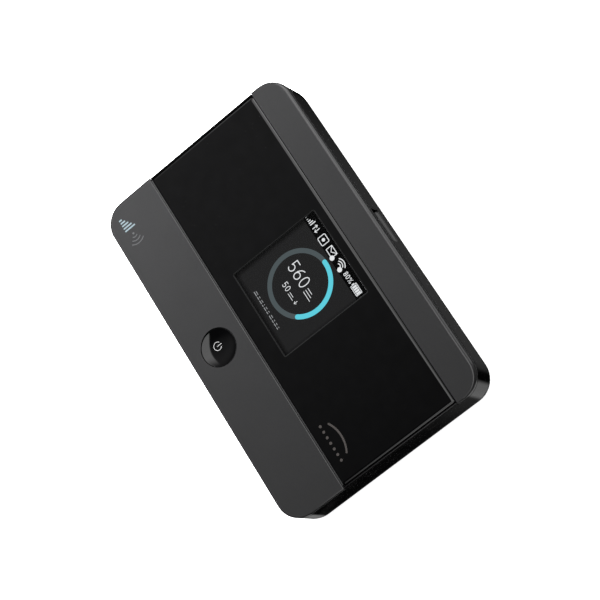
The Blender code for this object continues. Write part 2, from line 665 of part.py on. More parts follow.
def menu_switch(parent, finish):
    """Side-push switch behind the menu key."""
    face_y = MENU_SWITCH_FACE_Y
    half = MENU_SWITCH_HALF_X
    housing = block(KEY_X - half, KEY_X + half, face_y - MENU_SWITCH_DEPTH, face_y, ABOVE_BOARD,
                    MENU_SWITCH_TOP)
    switch = piece("menu_switch", housing, finish, parent)
    half = MENU_PLUNGER_HALF_X
    plunger = block(KEY_X - half, KEY_X + half, face_y - OVERLAP, face_y + MENU_PLUNGER_REACH,
                    MENU_PLUNGER_LOW_Z, MENU_PLUNGER_HIGH_Z)
    join(switch, plunger, "plunger")


def reset_button(parent, finish):
    """Thin pin with a collar, pressed through the chassis."""
    collar_low = CHASSIS_BOTTOM + CHASSIS_WALL + GAP
    collar_high = collar_low + RESET_COLLAR
    profile = [(0, RESET_BOTTOM), (RESET_RADIUS, RESET_BOTTOM), (RESET_RADIUS, collar_low),
               (RESET_COLLAR_RADIUS, collar_low), (RESET_COLLAR_RADIUS, collar_high),
               (RESET_RADIUS, collar_high), (RESET_RADIUS, RESET_TOP), (0, RESET_TOP)]
    bm = turned(profile)
    bmesh.ops.translate(bm, vec=Vector((RESET_X, RESET_Y, 0)), verts=bm.verts)
    piece("reset_button", bm, finish, parent)


def reset_switch(parent, finish):
    """Switch under the board that the reset pin presses."""
    half = RESET_SWITCH_HALF
    low_z = BELOW_BOARD - RESET_SWITCH_HEIGHT
    housing = block(RESET_X - half, RESET_X + half, RESET_Y - half, RESET_Y + half, low_z, BELOW_BOARD)
    switch = piece("reset_switch", housing, finish, parent)
    plunger = cylinder(RESET_X, RESET_Y, RESET_PLUNGER_RADIUS, RESET_PLUNGER_BOTTOM, low_z + OVERLAP)
    join(switch, plunger, "plunger")


# Board and electronics --------------------------------------------------------------------

def board_screw_places():
    return [(side * BOARD_SCREW_X, side * BOARD_SCREW_Y) for side in (1, -1)]


def main_board(parent, finish):
    """Circuit board with clearance for the bosses, its screws, and the port."""
    outline = rounded_rect(BOARD_HALF_X, BOARD_HALF_Y, BOARD_CORNER, 6)
    board = piece("main_board", prism(outline, BOARD_BOTTOM, BOARD_TOP), finish, parent)
    low, high = BOARD_BOTTOM - MM, BOARD_TOP + MM
    usb_half = USB_WIDTH / 2 + GAP
    holes = [cylinder(x, y, BOSS_RADIUS + GAP, low, high) for x, y in four_corners(BOSS_X, BOSS_Y)]
    holes += [cylinder(x, y, HOLE_RADIUS, low, high) for x, y in board_screw_places()]
    usb_end = -LENGTH / 2 + USB_DEPTH + 3 * GAP
    holes.append(block(-BOARD_HALF_X - MM, usb_end, -usb_half, usb_half, low, high))
    cut(board, merged(holes), "openings")


def shield_can(name, limits, height, parent, finish):
    """Pressed steel lid, open towards the board."""
    low_x, high_x, low_y, high_y = limits
    middle_x, middle_y = (low_x + high_x) / 2, (low_y + high_y) / 2
    half_x, half_y = (high_x - low_x) / 2, (high_y - low_y) / 2
    outer = shifted(rounded_rect(half_x, half_y, CAN_CORNER, 3), middle_x, middle_y)
    inner = rounded_rect(half_x - SHEET, half_y - SHEET, CAN_CORNER - SHEET, 3)
    inner = shifted(inner, middle_x, middle_y)
    top = ABOVE_BOARD + height
    rings = [ring(outer, top), ring(outer, ABOVE_BOARD), ring(inner, ABOVE_BOARD), ring(inner, top - SHEET)]
    piece(name, loft(rings), finish, parent)


def usb_port(parent, steel, plastic):
    """Socket shell that opens at the short side, with its contact tongue."""
    front_x = -LENGTH / 2 + 2 * GAP
    back_x = front_x + USB_DEPTH
    middle_z = USB_BOTTOM + USB_HEIGHT / 2
    rings = []
    for x, inset in ((back_x, 0), (front_x, 0), (front_x, SHEET), (back_x - SHEET, SHEET)):
        outline = rounded_rect(USB_WIDTH / 2 - inset, USB_HEIGHT / 2 - inset, USB_CORNER - inset, 3)
        rings.append([Vector((x, u, middle_z + v)) for u, v in outline])
    piece("usb_shell", loft(rings), steel, parent)
    tongue = block(front_x + TONGUE_SETBACK, back_x - SHEET - GAP, -TONGUE_HALF_Y, TONGUE_HALF_Y,
                   middle_z - TONGUE_HALF_Z, middle_z + TONGUE_HALF_Z)
    piece("usb_tongue", tongue, plastic, parent)


def antenna(name, side, low_y, high_y, parent, finish):
    """Stamped sheet above the board's end, with a leg down to the board."""
    low_x, high_x = sorted((side * ANTENNA_NEAR_X, side * ANTENNA_FAR_X))
    sheet = block(low_x, high_x, low_y, high_y, ANTENNA_TOP - SHEET, ANTENNA_TOP)
    plate = piece(name, sheet, finish, parent)
    low_x, high_x = sorted((side * ANTENNA_NEAR_X, side * (ANTENNA_NEAR_X + SHEET)))
    join(plate, block(low_x, high_x, low_y, low_y + ANTENNA_LEG, ABOVE_BOARD, ANTENNA_TOP), "leg")


def slot_cutter(limits, side_wall, low_z, height):
    """Cutter that opens a card socket at its low x end."""
    low_x, high_x, low_y, high_y = limits
    return block(low_x - MM, high_x - SOCKET_END_WALL, low_y + side_wall, high_y - side_wall, low_z,
                 low_z + height)


def sockets(parent, steel, card_white):
    """Card sockets under the board, with the card that the device needs."""
    low_z = BELOW_BOARD - SIM_SOCKET_HEIGHT
    sim = piece("sim_socket", block(*SIM_SOCKET, low_z, BELOW_BOARD), steel, parent)
    slot_z = low_z + SIM_SLOT_WALL
    cut(sim, slot_cutter(SIM_SOCKET, SIM_SIDE_WALL, slot_z, SIM_SLOT_HEIGHT), "card_slot")
    outline = [(SIM_CARD_LOW_X, SIM_CARD_LOW_Y), (SIM_CARD_HIGH_X, SIM_CARD_LOW_Y),
               (SIM_CARD_HIGH_X, SIM_CARD_HIGH_Y - SIM_CARD_CORNER),
               (SIM_CARD_HIGH_X - SIM_CARD_CORNER, SIM_CARD_HIGH_Y), (SIM_CARD_LOW_X, SIM_CARD_HIGH_Y)]
    card_z = slot_z + (SIM_SLOT_HEIGHT - SIM_CARD_THICKNESS) / 2
    piece("sim_card", prism(outline, card_z, card_z + SIM_CARD_THICKNESS), card_white, parent)
    low_z = BELOW_BOARD - MICROSD_HEIGHT
    reader = piece("microsd_socket", block(*MICROSD_SOCKET, low_z, BELOW_BOARD), steel, parent)
    slot_z = low_z + SIM_SLOT_WALL
    cut(reader, slot_cutter(MICROSD_SOCKET, SIM_SIDE_WALL, slot_z, MICROSD_SLOT_HEIGHT), "card_slot")


def contact_places():
    """Where the battery contacts sit along Y."""
    return [(k - (BLADE_COUNT - 1) / 2) * BLADE_PITCH for k in range(BLADE_COUNT)]


def battery_connector(parent, finish):
    """Contact block at the end of the battery bay."""
    face_x = CONNECTOR_LOW_X + BLADE_REACH
    housing = block(face_x, CONNECTOR_HIGH_X, -CONNECTOR_HALF_Y, CONNECTOR_HALF_Y, CONNECTOR_BOTTOM,
                    BELOW_BOARD)
    connector = piece("battery_connector", housing, finish, parent)
    blades = [block(CONNECTOR_LOW_X, face_x + OVERLAP, y - BLADE_HALF_Y, y + BLADE_HALF_Y, BLADE_LOW_Z,
                    BLADE_HIGH_Z) for y in contact_places()]
    join(connector, merged(blades), "blades")


def electronics(parent, steel, chip_black, pcb, port_black, copper, plastic):
    main_board(parent, pcb)
    shield_can("modem_shield_can", MODEM_CAN, MODEM_CAN_HEIGHT, parent, steel)
    shield_can("wifi_shield_can", WIFI_CAN, WIFI_CAN_HEIGHT, parent, steel)
    piece("memory_chip", block(*MEMORY_CHIP, ABOVE_BOARD, CHIP_TOP), chip_black, parent)
    piece("power_chip", block(*POWER_CHIP, ABOVE_BOARD, CHIP_TOP), chip_black, parent)
    usb_port(parent, steel, port_black)
    near, far = SIDE_ANTENNA_Y
    antenna("main_antenna", 1, -MAIN_ANTENNA_HALF_Y, MAIN_ANTENNA_HALF_Y, parent, copper)
    antenna("diversity_antenna", -1, near, far, parent, copper)
    antenna("wifi_antenna", -1, -far, -near, parent, copper)
    sockets(parent, steel, plastic)
    battery_connector(parent, port_black)


# Chassis and fasteners --------------------------------------------------------------------

def inner_chassis(parent, finish):
    """Moulded frame: a deck with walls, the battery bay, the card pocket and screw posts."""
    deck_top = CHASSIS_BOTTOM + CHASSIS_WALL
    outer = rounded_rect(CHASSIS_HALF_X, CHASSIS_HALF_Y, CHASSIS_RADIUS, 6)
    inner = rounded_rect(CHASSIS_HALF_X - CHASSIS_WALL, CHASSIS_HALF_Y - CHASSIS_WALL,
                         CHASSIS_RADIUS - CHASSIS_WALL, 6)
    rings = [ring(outer, CHASSIS_BOTTOM), ring(outer, CHASSIS_TOP), ring(inner, CHASSIS_TOP),
             ring(inner, deck_top)]
    chassis = piece("inner_chassis", loft(rings), finish, parent)
    low, high = CHASSIS_BOTTOM - MM, CHASSIS_TOP + MM
    base = deck_top - CHASSIS_WALL / 2
    bay = (BATTERY_LOW_X - GAP, BATTERY_HIGH_X + GAP, -BATTERY_HALF_Y - GAP, BATTERY_HALF_Y + GAP)
    pocket = (POCKET_LOW_X, POCKET_HIGH_X, -POCKET_HALF_Y, POCKET_HALF_Y)
    join(chassis, block(*grown(bay, CHASSIS_WALL), base, BAY_FLOOR_TOP), "bay_walls")
    join(chassis, block(*grown(pocket, CHASSIS_WALL), base, POST_TOP), "pocket_walls")
    posts = four_corners(BOSS_X, BOSS_Y)
    shapes = [cylinder(x, y, BOSS_RADIUS, base, POST_TOP) for x, y in posts]
    shapes += [cylinder(x, y, BOSS_RADIUS, base, BOARD_BOTTOM - GAP) for x, y in board_screw_places()]
    join(chassis, merged(shapes), "posts")
    holes = [stepped_hole(x, y, low, deck_top + HEAD_SEAT, high) for x, y in posts]
    holes += [cylinder(x, y, HOLE_RADIUS, deck_top + MM, BOARD_BOTTOM) for x, y in board_screw_places()]
    holes.append(cylinder(RESET_X, RESET_Y, RESET_RADIUS + GAP, low, deck_top + MM))
    holes.append(block(*bay, low, BAY_CEILING))
    holes.append(block(*pocket, low, high))
    cut(chassis, merged(holes), "openings")
    gap_half_y = CONNECTOR_HALF_Y + GAP
    gap = block(BATTERY_HIGH_X, CONNECTOR_HIGH_X + GAP, -gap_half_y, gap_half_y, deck_top + GAP / 2, high)
    cut(chassis, gap, "connector_gap")


def grown(limits, margin):
    """Plan limits moved outwards by a margin."""
    low_x, high_x, low_y, high_y = limits
    return low_x - margin, high_x + margin, low_y - margin, high_y + margin


def stepped_hole(x, y, low_z, seat_z, high_z):
    """Cutter for a screw's clearance hole and the counterbore of its head."""
    head_radius = SCREW_HEAD_RADIUS + GAP
    bm = turned([(0, low_z), (head_radius, low_z), (head_radius, seat_z), (HOLE_RADIUS, seat_z),
                 (HOLE_RADIUS, high_z), (0, high_z)])
    bmesh.ops.translate(bm, vec=Vector((x, y, 0)), verts=bm.verts)
    return bm


def screw(name, x, y, head_z, length, points_up, parent, finish):
    """Pan head screw with a cross recess; head_z is the face under its head."""
    way = 1 if points_up else -1
    point = SCREW_RADIUS / 2
    profile = [(0, length), (point, length), (SCREW_RADIUS, length - point), (SCREW_RADIUS, 0),
               (SCREW_HEAD_RADIUS, 0), (SCREW_HEAD_RADIUS, -0.7 * SCREW_HEAD),
               (SCREW_HEAD_RADIUS * 0.7, -SCREW_HEAD), (0, -SCREW_HEAD)]
    place = Matrix.Translation((x, y, head_z)) @ Matrix.Diagonal((1, way, way, 1))
    shape = turned(profile)
    shape.transform(place)
    thing = piece(name, shape, finish, parent)
    arms = ((RECESS_ARM, RECESS_HALF_WIDTH), (RECESS_HALF_WIDTH, RECESS_ARM))
    for k, (half_x, half_y) in enumerate(arms):
        slot = block(-half_x, half_x, -half_y, half_y, -SCREW_HEAD - MM, -SCREW_HEAD + RECESS_DEPTH)
        slot.transform(place)
        cut(thing, slot, "recess_%d" % k)


def fasteners(parent, finish):
    seat = CHASSIS_BOTTOM + CHASSIS_WALL + HEAD_SEAT
    for k, (x, y) in enumerate(four_corners(BOSS_X, BOSS_Y)):
        screw("chassis_screw_%d" % (k + 1), x, y, seat - GAP, LONG_SCREW, True, parent, finish)
    for k, (x, y) in enumerate(board_screw_places()):
        screw("board_screw_%d" % (k + 1), x, y, ABOVE_BOARD, SHORT_SCREW, False, parent, finish)


# Battery ----------------------------------------------------------------------------------

def battery(parent, wrap, plastic):
    """Removable pack: the wrapped cell and its end cap with contact pockets."""
    join_x = BATTERY_HIGH_X - BATTERY_CAP
    half_y = BATTERY_HALF_Y
    cell = soft_block(BATTERY_LOW_X, join_x - GAP, -half_y, half_y, BATTERY_BOTTOM, BATTERY_TOP,
                      CELL_CORNER)
    piece("battery_cell", cell, wrap, parent)
    end = soft_block(join_x, BATTERY_HIGH_X, -half_y, half_y, BATTERY_BOTTOM, BATTERY_TOP, CAP_CORNER)
    cap = piece("battery_end_cap", end, plastic, parent)
    pockets = [block(BATTERY_HIGH_X - CONTACT_DEPTH, BATTERY_HIGH_X + MM, y - CONTACT_HALF_Y,
                     y + CONTACT_HALF_Y, CONTACT_LOW_Z, CONTACT_HIGH_Z) for y in contact_places()]
    cut(cap, merged(pockets), "contacts")


def rating_label(parent, finish):
    """Blank sticker on the battery bay's ceiling."""
    top = BAY_CEILING - GAP
    sticker = block(LABEL_LOW_X, LABEL_HIGH_X, -LABEL_HALF_Y, LABEL_HALF_Y, top - LABEL_THICKNESS, top)
    piece("rating_label", sticker, finish, parent)


# Assembly ---------------------------------------------------------------------------------

def build():
    clear_scene()
    gloss_black = material("gloss_black", (0.006, 0.006, 0.007), 0.08)
    band_grey = material("band_grey", (0.055, 0.055, 0.058), 0.45)
    matte_black = material("matte_black", (0.02, 0.02, 0.021), 0.6)
    clear_acrylic = material("clear_acrylic", (0.9, 0.9, 0.9), 0.02, transmission=1.0)
    mask_black = material("mask_black", (0.003, 0.003, 0.003), 0.3)
    panel_glass = material("panel_glass", (0.012, 0.014, 0.016), 0.1)
    foam_black = material("foam_black", (0.02, 0.02, 0.02), 0.9)
    steel = material("steel", (0.6, 0.6, 0.58), 0.35, metallic=1.0)
    flex_amber = material("flex_amber", (0.35, 0.16, 0.03), 0.4)
    board_green = material("board_green", (0.01, 0.09, 0.04), 0.45)
    chip_black = material("chip_black", (0.015, 0.015, 0.016), 0.5)
    copper = material("copper", (0.75, 0.4, 0.22), 0.35, metallic=1.0)
    socket_black = material("socket_black", (0.02, 0.02, 0.02), 0.5)
    card_white = material("card_white", (0.75, 0.75, 0.73), 0.5)
    battery_wrap = material("battery_wrap", (0.03, 0.03, 0.032), 0.45)
    label_paper = material("label_paper", (0.8, 0.8, 0.78), 0.6)

    back = body("back", (0, 0, 0))
    unit = body("unit", (0, 0, SPLIT_Z))
    pack = body("battery", ((BATTERY_LOW_X + BATTERY_HIGH_X) / 2, 0, BATTERY_BOTTOM))
    power = body("power", (0, BUTTON_Y, BUTTON_TOP))
    menu = body("menu", (KEY_X, WIDTH / 2, (KEY_LOW_Z + KEY_HIGH_Z) / 2))
    reset = body("reset", (RESET_X, RESET_Y, RESET_BOTTOM))

    rear_cover(back, matte_black)
    battery(pack, battery_wrap, socket_black)
    front_housing(unit, gloss_black)
    band("upper_band", UPPER_BAND_Y, BAND_EDGE_UPPER, unit, band_grey)
    lower = band("lower_band", LOWER_BAND_Y, BAND_EDGE_LOWER, unit, band_grey)
    hole = cylinder(0, BUTTON_Y, BUTTON_RADIUS + GAP, BAND_BOTTOM - MM, THICKNESS + MM, BUTTON_STEPS)
    cut(lower, hole, "button_hole")
    window_lens(unit, clear_acrylic)
    lens_mask(unit, mask_black)
    display_module(unit, panel_glass, foam_black, steel, clear_acrylic, flex_amber)
    power_button(power, gloss_black)
    menu_key(menu, gloss_black)
    reset_button(reset, matte_black)
    power_switch(unit, steel)
    menu_switch(unit, steel)
    reset_switch(unit, steel)
    electronics(unit, steel, chip_black, board_green, socket_black, copper, card_white)
    inner_chassis(unit, matte_black)
    fasteners(unit, steel)
    rating_label(unit, label_paper)


build()
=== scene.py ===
"""Looks of the pocket hotspot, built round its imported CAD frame.

Everything is in metres in the frame's own axes: +X along the long side, +Y towards the menu
key and +Z out of the front face. Places and sizes come from the CAD nodes' boxes.
"""
import math

import bmesh
import bpy
from mathutils import Matrix, Vector


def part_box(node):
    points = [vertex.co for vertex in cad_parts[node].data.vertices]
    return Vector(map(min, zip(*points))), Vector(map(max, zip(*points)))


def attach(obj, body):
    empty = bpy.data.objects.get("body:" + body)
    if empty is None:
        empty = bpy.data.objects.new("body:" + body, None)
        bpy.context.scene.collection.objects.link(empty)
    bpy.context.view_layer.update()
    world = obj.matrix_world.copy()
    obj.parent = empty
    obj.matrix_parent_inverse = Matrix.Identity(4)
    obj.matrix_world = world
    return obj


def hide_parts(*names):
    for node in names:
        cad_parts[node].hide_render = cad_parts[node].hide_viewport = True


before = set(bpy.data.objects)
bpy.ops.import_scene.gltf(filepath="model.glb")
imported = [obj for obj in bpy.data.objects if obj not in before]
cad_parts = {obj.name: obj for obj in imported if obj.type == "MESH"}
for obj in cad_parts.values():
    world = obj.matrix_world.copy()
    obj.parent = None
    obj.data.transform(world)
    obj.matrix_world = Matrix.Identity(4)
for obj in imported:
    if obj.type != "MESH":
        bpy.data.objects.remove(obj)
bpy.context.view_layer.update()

MM = 0.001

# Places read from the frame
HOUSING_LOW, HOUSING_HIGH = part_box("front_housing")
COVER_LOW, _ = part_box("rear_cover")
LENS_LOW, LENS_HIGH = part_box("window_lens")
MASK_LOW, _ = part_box("lens_mask")
UPPER_LOW, UPPER_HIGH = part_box("upper_band")
LOWER_LOW, LOWER_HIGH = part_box("lower_band")
PANEL_LOW, PANEL_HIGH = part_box("display_panel")
BUTTON_LOW, BUTTON_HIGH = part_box("power_button")
KEY_LOW, KEY_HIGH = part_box("menu_key")
PORT_LOW, PORT_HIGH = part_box("usb_shell")

HALF_X = HOUSING_HIGH.x
HALF_Y = HOUSING_HIGH.y
FRONT_Z = UPPER_HIGH.z

# Shape details that the boxes don't give
CORNER_RADIUS = 7.0 * MM
CORNER_STEPS = 24
GAP = 0.3 * MM                   # clearance between neighbouring CAD pieces

# Display window in the lens's print
WINDOW_HALF_X = 13.9 * MM
WINDOW_LOW_Y, WINDOW_HIGH_Y = -8.85 * MM, 19.9 * MM


# Outlines and solids ----------------------------------------------------------------------

def rounded_rect(half_x, half_y, radius, steps=CORNER_STEPS):
    """Outline of a rounded rectangle round the origin, counter-clockwise."""
    points = []
    for quadrant in range(4):
        side_x = 1 if quadrant in (0, 3) else -1
        side_y = 1 if quadrant in (0, 1) else -1
        for step in range(steps + 1):
            angle = math.pi / 2 * (quadrant + step / steps)
            x = side_x * (half_x - radius) + radius * math.cos(angle)
            y = side_y * (half_y - radius) + radius * math.sin(angle)
            points.append((x, y))
    return points


def shifted(outline, x, y):
    return [(px + x, py + y) for px, py in outline]


def boxed(low_x, high_x, low_y, high_y, radius=0.0, steps=6):
    """Outline of a rectangle between limits, with rounded corners if radius isn't 0."""
    middle_x, middle_y = (low_x + high_x) / 2, (low_y + high_y) / 2
    if radius == 0.0:
        return [(low_x, low_y), (high_x, low_y), (high_x, high_y), (low_x, high_y)]
    outline = rounded_rect((high_x - low_x) / 2, (high_y - low_y) / 2, radius, steps)
    return shifted(outline, middle_x, middle_y)


def ring(outline, z):
    return [Vector((x, y, z)) for x, y in outline]


def add_loft(bm, rings, closed=False):
    """Adds a solid through rings of equal point count to bm, capped unless it closes on itself."""
    loops = [[bm.verts.new(point) for point in points] for points in rings]
    count = len(loops[0])
    pairs = list(zip(loops, loops[1:]))
    if closed:
        pairs.append((loops[-1], loops[0]))
    faces = []
    for lower, upper in pairs:
        for i in range(count):
            j = (i + 1) % count
            faces.append(bm.faces.new((lower[i], lower[j], upper[j], upper[i])))
    if not closed:
        faces.append(bm.faces.new(loops[0]))
        faces.append(bm.faces.new(loops[-1]))
    bmesh.ops.recalc_face_normals(bm, faces=faces)
    return bm


def loft(rings, closed=False):
    return add_loft(bmesh.new(), rings, closed)


def prism(outline, low_z, high_z):
    return loft([ring(outline, low_z), ring(outline, high_z)])


def quarter(steps):
    """Angles from 0 to a right angle."""
    return [math.pi / 2 * step / steps for step in range(steps + 1)]


def turned(profile, x=0.0, y=0.0, steps=96):
    """Solid of revolution round an upright axis from (radius, z) points that start and end on it."""
    bm = bmesh.new()
    bottom = bm.verts.new((x, y, profile[0][1]))
    top = bm.verts.new((x, y, profile[-1][1]))
    angles = [math.tau * step / steps for step in range(steps)]
    loops = []
    for radius, z in profile[1:-1]:
        loops.append([bm.verts.new((x + radius * math.cos(a), y + radius * math.sin(a), z))
                      for a in angles])
    for i in range(steps):
        j = (i + 1) % steps
        bm.faces.new((bottom, loops[0][j], loops[0][i]))
        bm.faces.new((top, loops[-1][i], loops[-1][j]))
        for lower, upper in zip(loops, loops[1:]):
            bm.faces.new((lower[i], lower[j], upper[j], upper[i]))
    bmesh.ops.recalc_face_normals(bm, faces=bm.faces)
    return bm


def mouth(half_u, half_v, radius, start, wall, flare):
    """Sections of an opening that runs out through a wall and flares at its mouth.

    Each section is (distance, outline); the wall's outer face is at the distance wall.
    """
    sections = [(start, rounded_rect(half_u, half_v, radius, 6))]
    for angle in quarter(5):
        grow = flare * (1 - math.cos(angle))
        outline = rounded_rect(half_u + grow, half_v + grow, radius + grow, 6)
        sections.append((wall - flare * (1 - math.sin(angle)), outline))
    sections.append((wall + 1 * MM, sections[-1][1]))
    return sections


# Pieces -----------------------------------------------------------------------------------

def piece(name, bm, finish, body, replaces=(), smooth=32.0):
    """Named piece that rides on a CAD body, shaded smooth except at edges sharper than smooth."""
    mesh = bpy.data.meshes.new(name)
    bm.to_mesh(mesh)
    bm.free()
    thing = bpy.data.objects.new(name, mesh)
    bpy.context.collection.objects.link(thing)
    shade(thing, finish, smooth)
    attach(thing, body)
    if replaces:
        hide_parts(*replaces)
    return thing


def shade(thing, finish, smooth):
    thing.data.materials.clear()
    thing.data.materials.append(finish)
    thing.data.shade_smooth()
    thing.data.set_sharp_from_angle(angle=math.radians(smooth))
    weighted = thing.modifiers.new("even_normals", 'WEIGHTED_NORMAL')
    weighted.keep_sharp = True
    weighted.weight = 80


def boolean(target, bm, operation='DIFFERENCE'):
    """Cuts a solid from the target, or joins it, at once."""
    mesh = bpy.data.meshes.new("tool")
    bm.to_mesh(mesh)
    bm.free()
    tool = bpy.data.objects.new("tool", mesh)
    bpy.context.collection.objects.link(tool)
    weighted = target.modifiers["even_normals"]
    weighted.show_viewport = False
    change = target.modifiers.new("boolean", 'BOOLEAN')
    change.operation = operation
    change.object = tool
    change.solver = 'EXACT'
    bpy.context.view_layer.update()
    evaluated = target.evaluated_get(bpy.context.evaluated_depsgraph_get())
    result = bpy.data.meshes.new_from_object(evaluated)
    target.modifiers.remove(change)
    old = target.data
    target.data = result
    bpy.data.meshes.remove(old)
    bpy.data.objects.remove(tool)
    bpy.data.meshes.remove(mesh)
    weighted.show_viewport = True
    result.shade_smooth()
    result.set_sharp_from_angle(angle=math.radians(32))


# Materials --------------------------------------------------------------------------------

class Finish:
    """A Principled material, with short calls for the nodes that vary it over the surface."""

    def __init__(self, name, colour, roughness, metallic=0.0, **sockets):
        self.material = bpy.data.materials.new(name)
        self.material.use_nodes = True
        self.tree = self.material.node_tree
        self.shader = self.tree.nodes["Principled BSDF"]
        self.colour = colour
        self.shader.inputs["Base Color"].default_value = (*colour, 1.0)
        self.shader.inputs["Roughness"].default_value = roughness
        self.shader.inputs["Metallic"].default_value = metallic
        for label, value in sockets.items():
            self.shader.inputs[label.replace("_", " ")].default_value = value
        self.place = self.node("ShaderNodeTexCoord").outputs["Object"]

    def node(self, kind, **values):
        made = self.tree.nodes.new(kind)
        for key, value in values.items():
            setattr(made, key, value)
        return made

    def link(self, source, target):
        self.tree.links.new(source, target)

    def stretched(self, x, y, z):
        """The surface's own coordinates, scaled along each axis."""
        mapping = self.node("ShaderNodeMapping")
        mapping.inputs["Scale"].default_value = (x, y, z)
        self.link(self.place, mapping.inputs["Vector"])
        return mapping.outputs["Vector"]

    def noise(self, size, detail=2.0, place=None):
        """Noise whose features are about size across."""
        made = self.node("ShaderNodeTexNoise")
        made.inputs["Scale"].default_value = 1.0 / size
        made.inputs["Detail"].default_value = detail
        self.link(place or self.place, made.inputs["Vector"])
        return made.outputs["Fac"]

    def spread(self, source, low, high, from_low=0.3, from_high=0.7):
        """Source remapped to run from low to high."""
        made = self.node("ShaderNodeMapRange")
        for label, value in (("From Min", from_low), ("From Max", from_high),
                             ("To Min", low), ("To Max", high)):
            made.inputs[label].default_value = value
        self.link(source, made.inputs["Value"])
        return made.outputs["Result"]

    def maths(self, operation, first, second=0.0):
        made = self.node("ShaderNodeMath", operation=operation)
        for k, value in enumerate((first, second)):
            if isinstance(value, (int, float)):
                made.inputs[k].default_value = value
            else:
                self.link(value, made.inputs[k])
        return made.outputs["Value"]

    def away(self, source, middle):
        """How far source lies from middle, either way."""
        return self.maths('ABSOLUTE', self.maths('SUBTRACT', source, middle))

    def blended(self, share, first, second):
        """Colour that runs from first to second with share."""
        made = self.node("ShaderNodeMix", data_type='RGBA')
        self.link(share, made.inputs["Factor"])
        for socket, value in ((made.inputs[6], first), (made.inputs[7], second)):
            if isinstance(value, tuple):
                socket.default_value = (*value, 1.0)
            else:
                self.link(value, socket)
        return made.outputs[2]

    def tone(self, size, amount, detail=3.0):
        """Uneven tone: the colour darkens and lightens by amount over patches of the given size."""
        share = self.spread(self.noise(size, detail), 0.0, 1.0)
        dark = tuple(c * (1 - amount) for c in self.colour)
        light = tuple(min(1.0, c * (1 + amount)) for c in self.colour)
        self.link(self.blended(share, dark, light), self.shader.inputs["Base Color"])
        return self

    def gloss(self, size, low, high, detail=4.0):
        """Roughness that wanders between low and high."""
        self.link(self.spread(self.noise(size, detail), low, high), self.shader.inputs["Roughness"])
        return self

    def grain(self, size, depth, detail=2.0, place=None, source=None):
        """Fine relief of the given feature size and depth."""
        bump = self.node("ShaderNodeBump")
        bump.inputs["Strength"].default_value = 1.0
        bump.inputs["Distance"].default_value = depth
        self.link(source or self.noise(size, detail, place), bump.inputs["Height"])
        self.link(bump.outputs["Normal"], self.shader.inputs["Normal"])
        return self


def gloss_black():
    """Polished black moulding with a faint moulding ripple and handling haze."""
    finish = Finish("gloss_black", (0.001, 0.001, 0.0011), 0.07)
    finish.gloss(6 * MM, 0.05, 0.11)
    finish.tone(3 * MM, 0.15)
    return finish.grain(1.6 * MM, 0.0006 * MM, 1.0).material


def band_grey():
    """Satin metallic paint: fine sparkle in the tone and a dry, even texture."""
    finish = Finish("band_grey", BAND_COLOUR, 0.42, Specular_IOR_Level=0.05,
                    Coat_Weight=0.85, Coat_Roughness=0.07)
    sparkle = finish.spread(finish.noise(0.09 * MM, 1.0), 0.0, 1.0, 0.35, 0.75)
    cloud = finish.spread(finish.noise(9 * MM, 3.0), 0.35, 0.65)
    share = finish.maths('ADD', finish.maths('MULTIPLY', sparkle, 0.5),
                         finish.maths('MULTIPLY', cloud, 0.5))
    dark = tuple(c * 0.84 for c in BAND_COLOUR)
    light = tuple(c * 1.16 for c in BAND_COLOUR)
    finish.link(finish.blended(share, dark, light), finish.shader.inputs["Base Color"])
    finish.gloss(0.5 * MM, 0.38, 0.47)
    return finish.grain(0.14 * MM, 0.0025 * MM, 1.0).material


def matte_black():
    """Spark-eroded mould texture on black plastic."""
    finish = Finish("matte_black", (0.016, 0.016, 0.017), 0.55)
    finish.tone(2.5 * MM, 0.12)
    finish.gloss(0.8 * MM, 0.5, 0.64)
    return finish.grain(0.22 * MM, 0.012 * MM, 2.0).material


def clear_acrylic(name="clear_acrylic", colour=(0.97, 0.975, 0.98), density=1.49):
    """Polished clear acrylic, its tint a little uneven."""
    finish = Finish(name, colour, 0.0, Transmission_Weight=1.0, IOR=density)
    return finish.tone(7 * MM, 0.01).material


def lens_black():
    """Polished black lens, printed behind: a deep tone under an even gloss with the faintest ripple."""
    finish = Finish("lens_black", (0.0012, 0.0012, 0.0013), 0.04)
    finish.tone(4 * MM, 0.2)
    finish.gloss(9 * MM, 0.03, 0.05)
    return finish.grain(2.4 * MM, 0.0003 * MM, 1.0).material


def screen_light(name, colour, strength, pitch=0.115 * MM):
    """Lit display picture, broken up by the fine dark grid between its dots, with painted shade that dims it towards
    the window's edges.
    """
    finish = Finish(name, (0.001, 0.001, 0.0012), 0.25, Specular_IOR_Level=0.0)
    split = finish.node("ShaderNodeSeparateXYZ")
    finish.link(finish.place, split.inputs["Vector"])
    lit = None
    for axis in ("X", "Y"):
        cell = finish.maths('FRACT', finish.maths('DIVIDE', split.outputs[axis], pitch))
        edge = finish.maths('ABSOLUTE', finish.maths('SUBTRACT', cell, 0.5))
        dot = finish.spread(edge, 1.0, 0.72, 0.36, 0.46)
        lit = dot if lit is None else finish.maths('MULTIPLY', lit, dot)
    dim = tuple(c * 0.6 for c in colour)
    finish.link(finish.blended(lit, dim, colour), finish.shader.inputs["Emission Color"])
    # Painted shade: the glow falls to a quarter near the window's edges, where the recess's walls shade it
    painted_shade_x = finish.spread(finish.away(split.outputs["X"], 0.0), strength, 0.25 * strength,
                            12.6 * MM, 14.0 * MM)
    middle_y = (WINDOW_LOW_Y + WINDOW_HIGH_Y) / 2
    painted_shade_y = finish.spread(finish.away(split.outputs["Y"], middle_y), 1.0, 0.25, 13.1 * MM, 14.5 * MM)
    finish.link(finish.maths('MULTIPLY', painted_shade_x, painted_shade_y), finish.shader.inputs["Emission Strength"])
    return finish.material


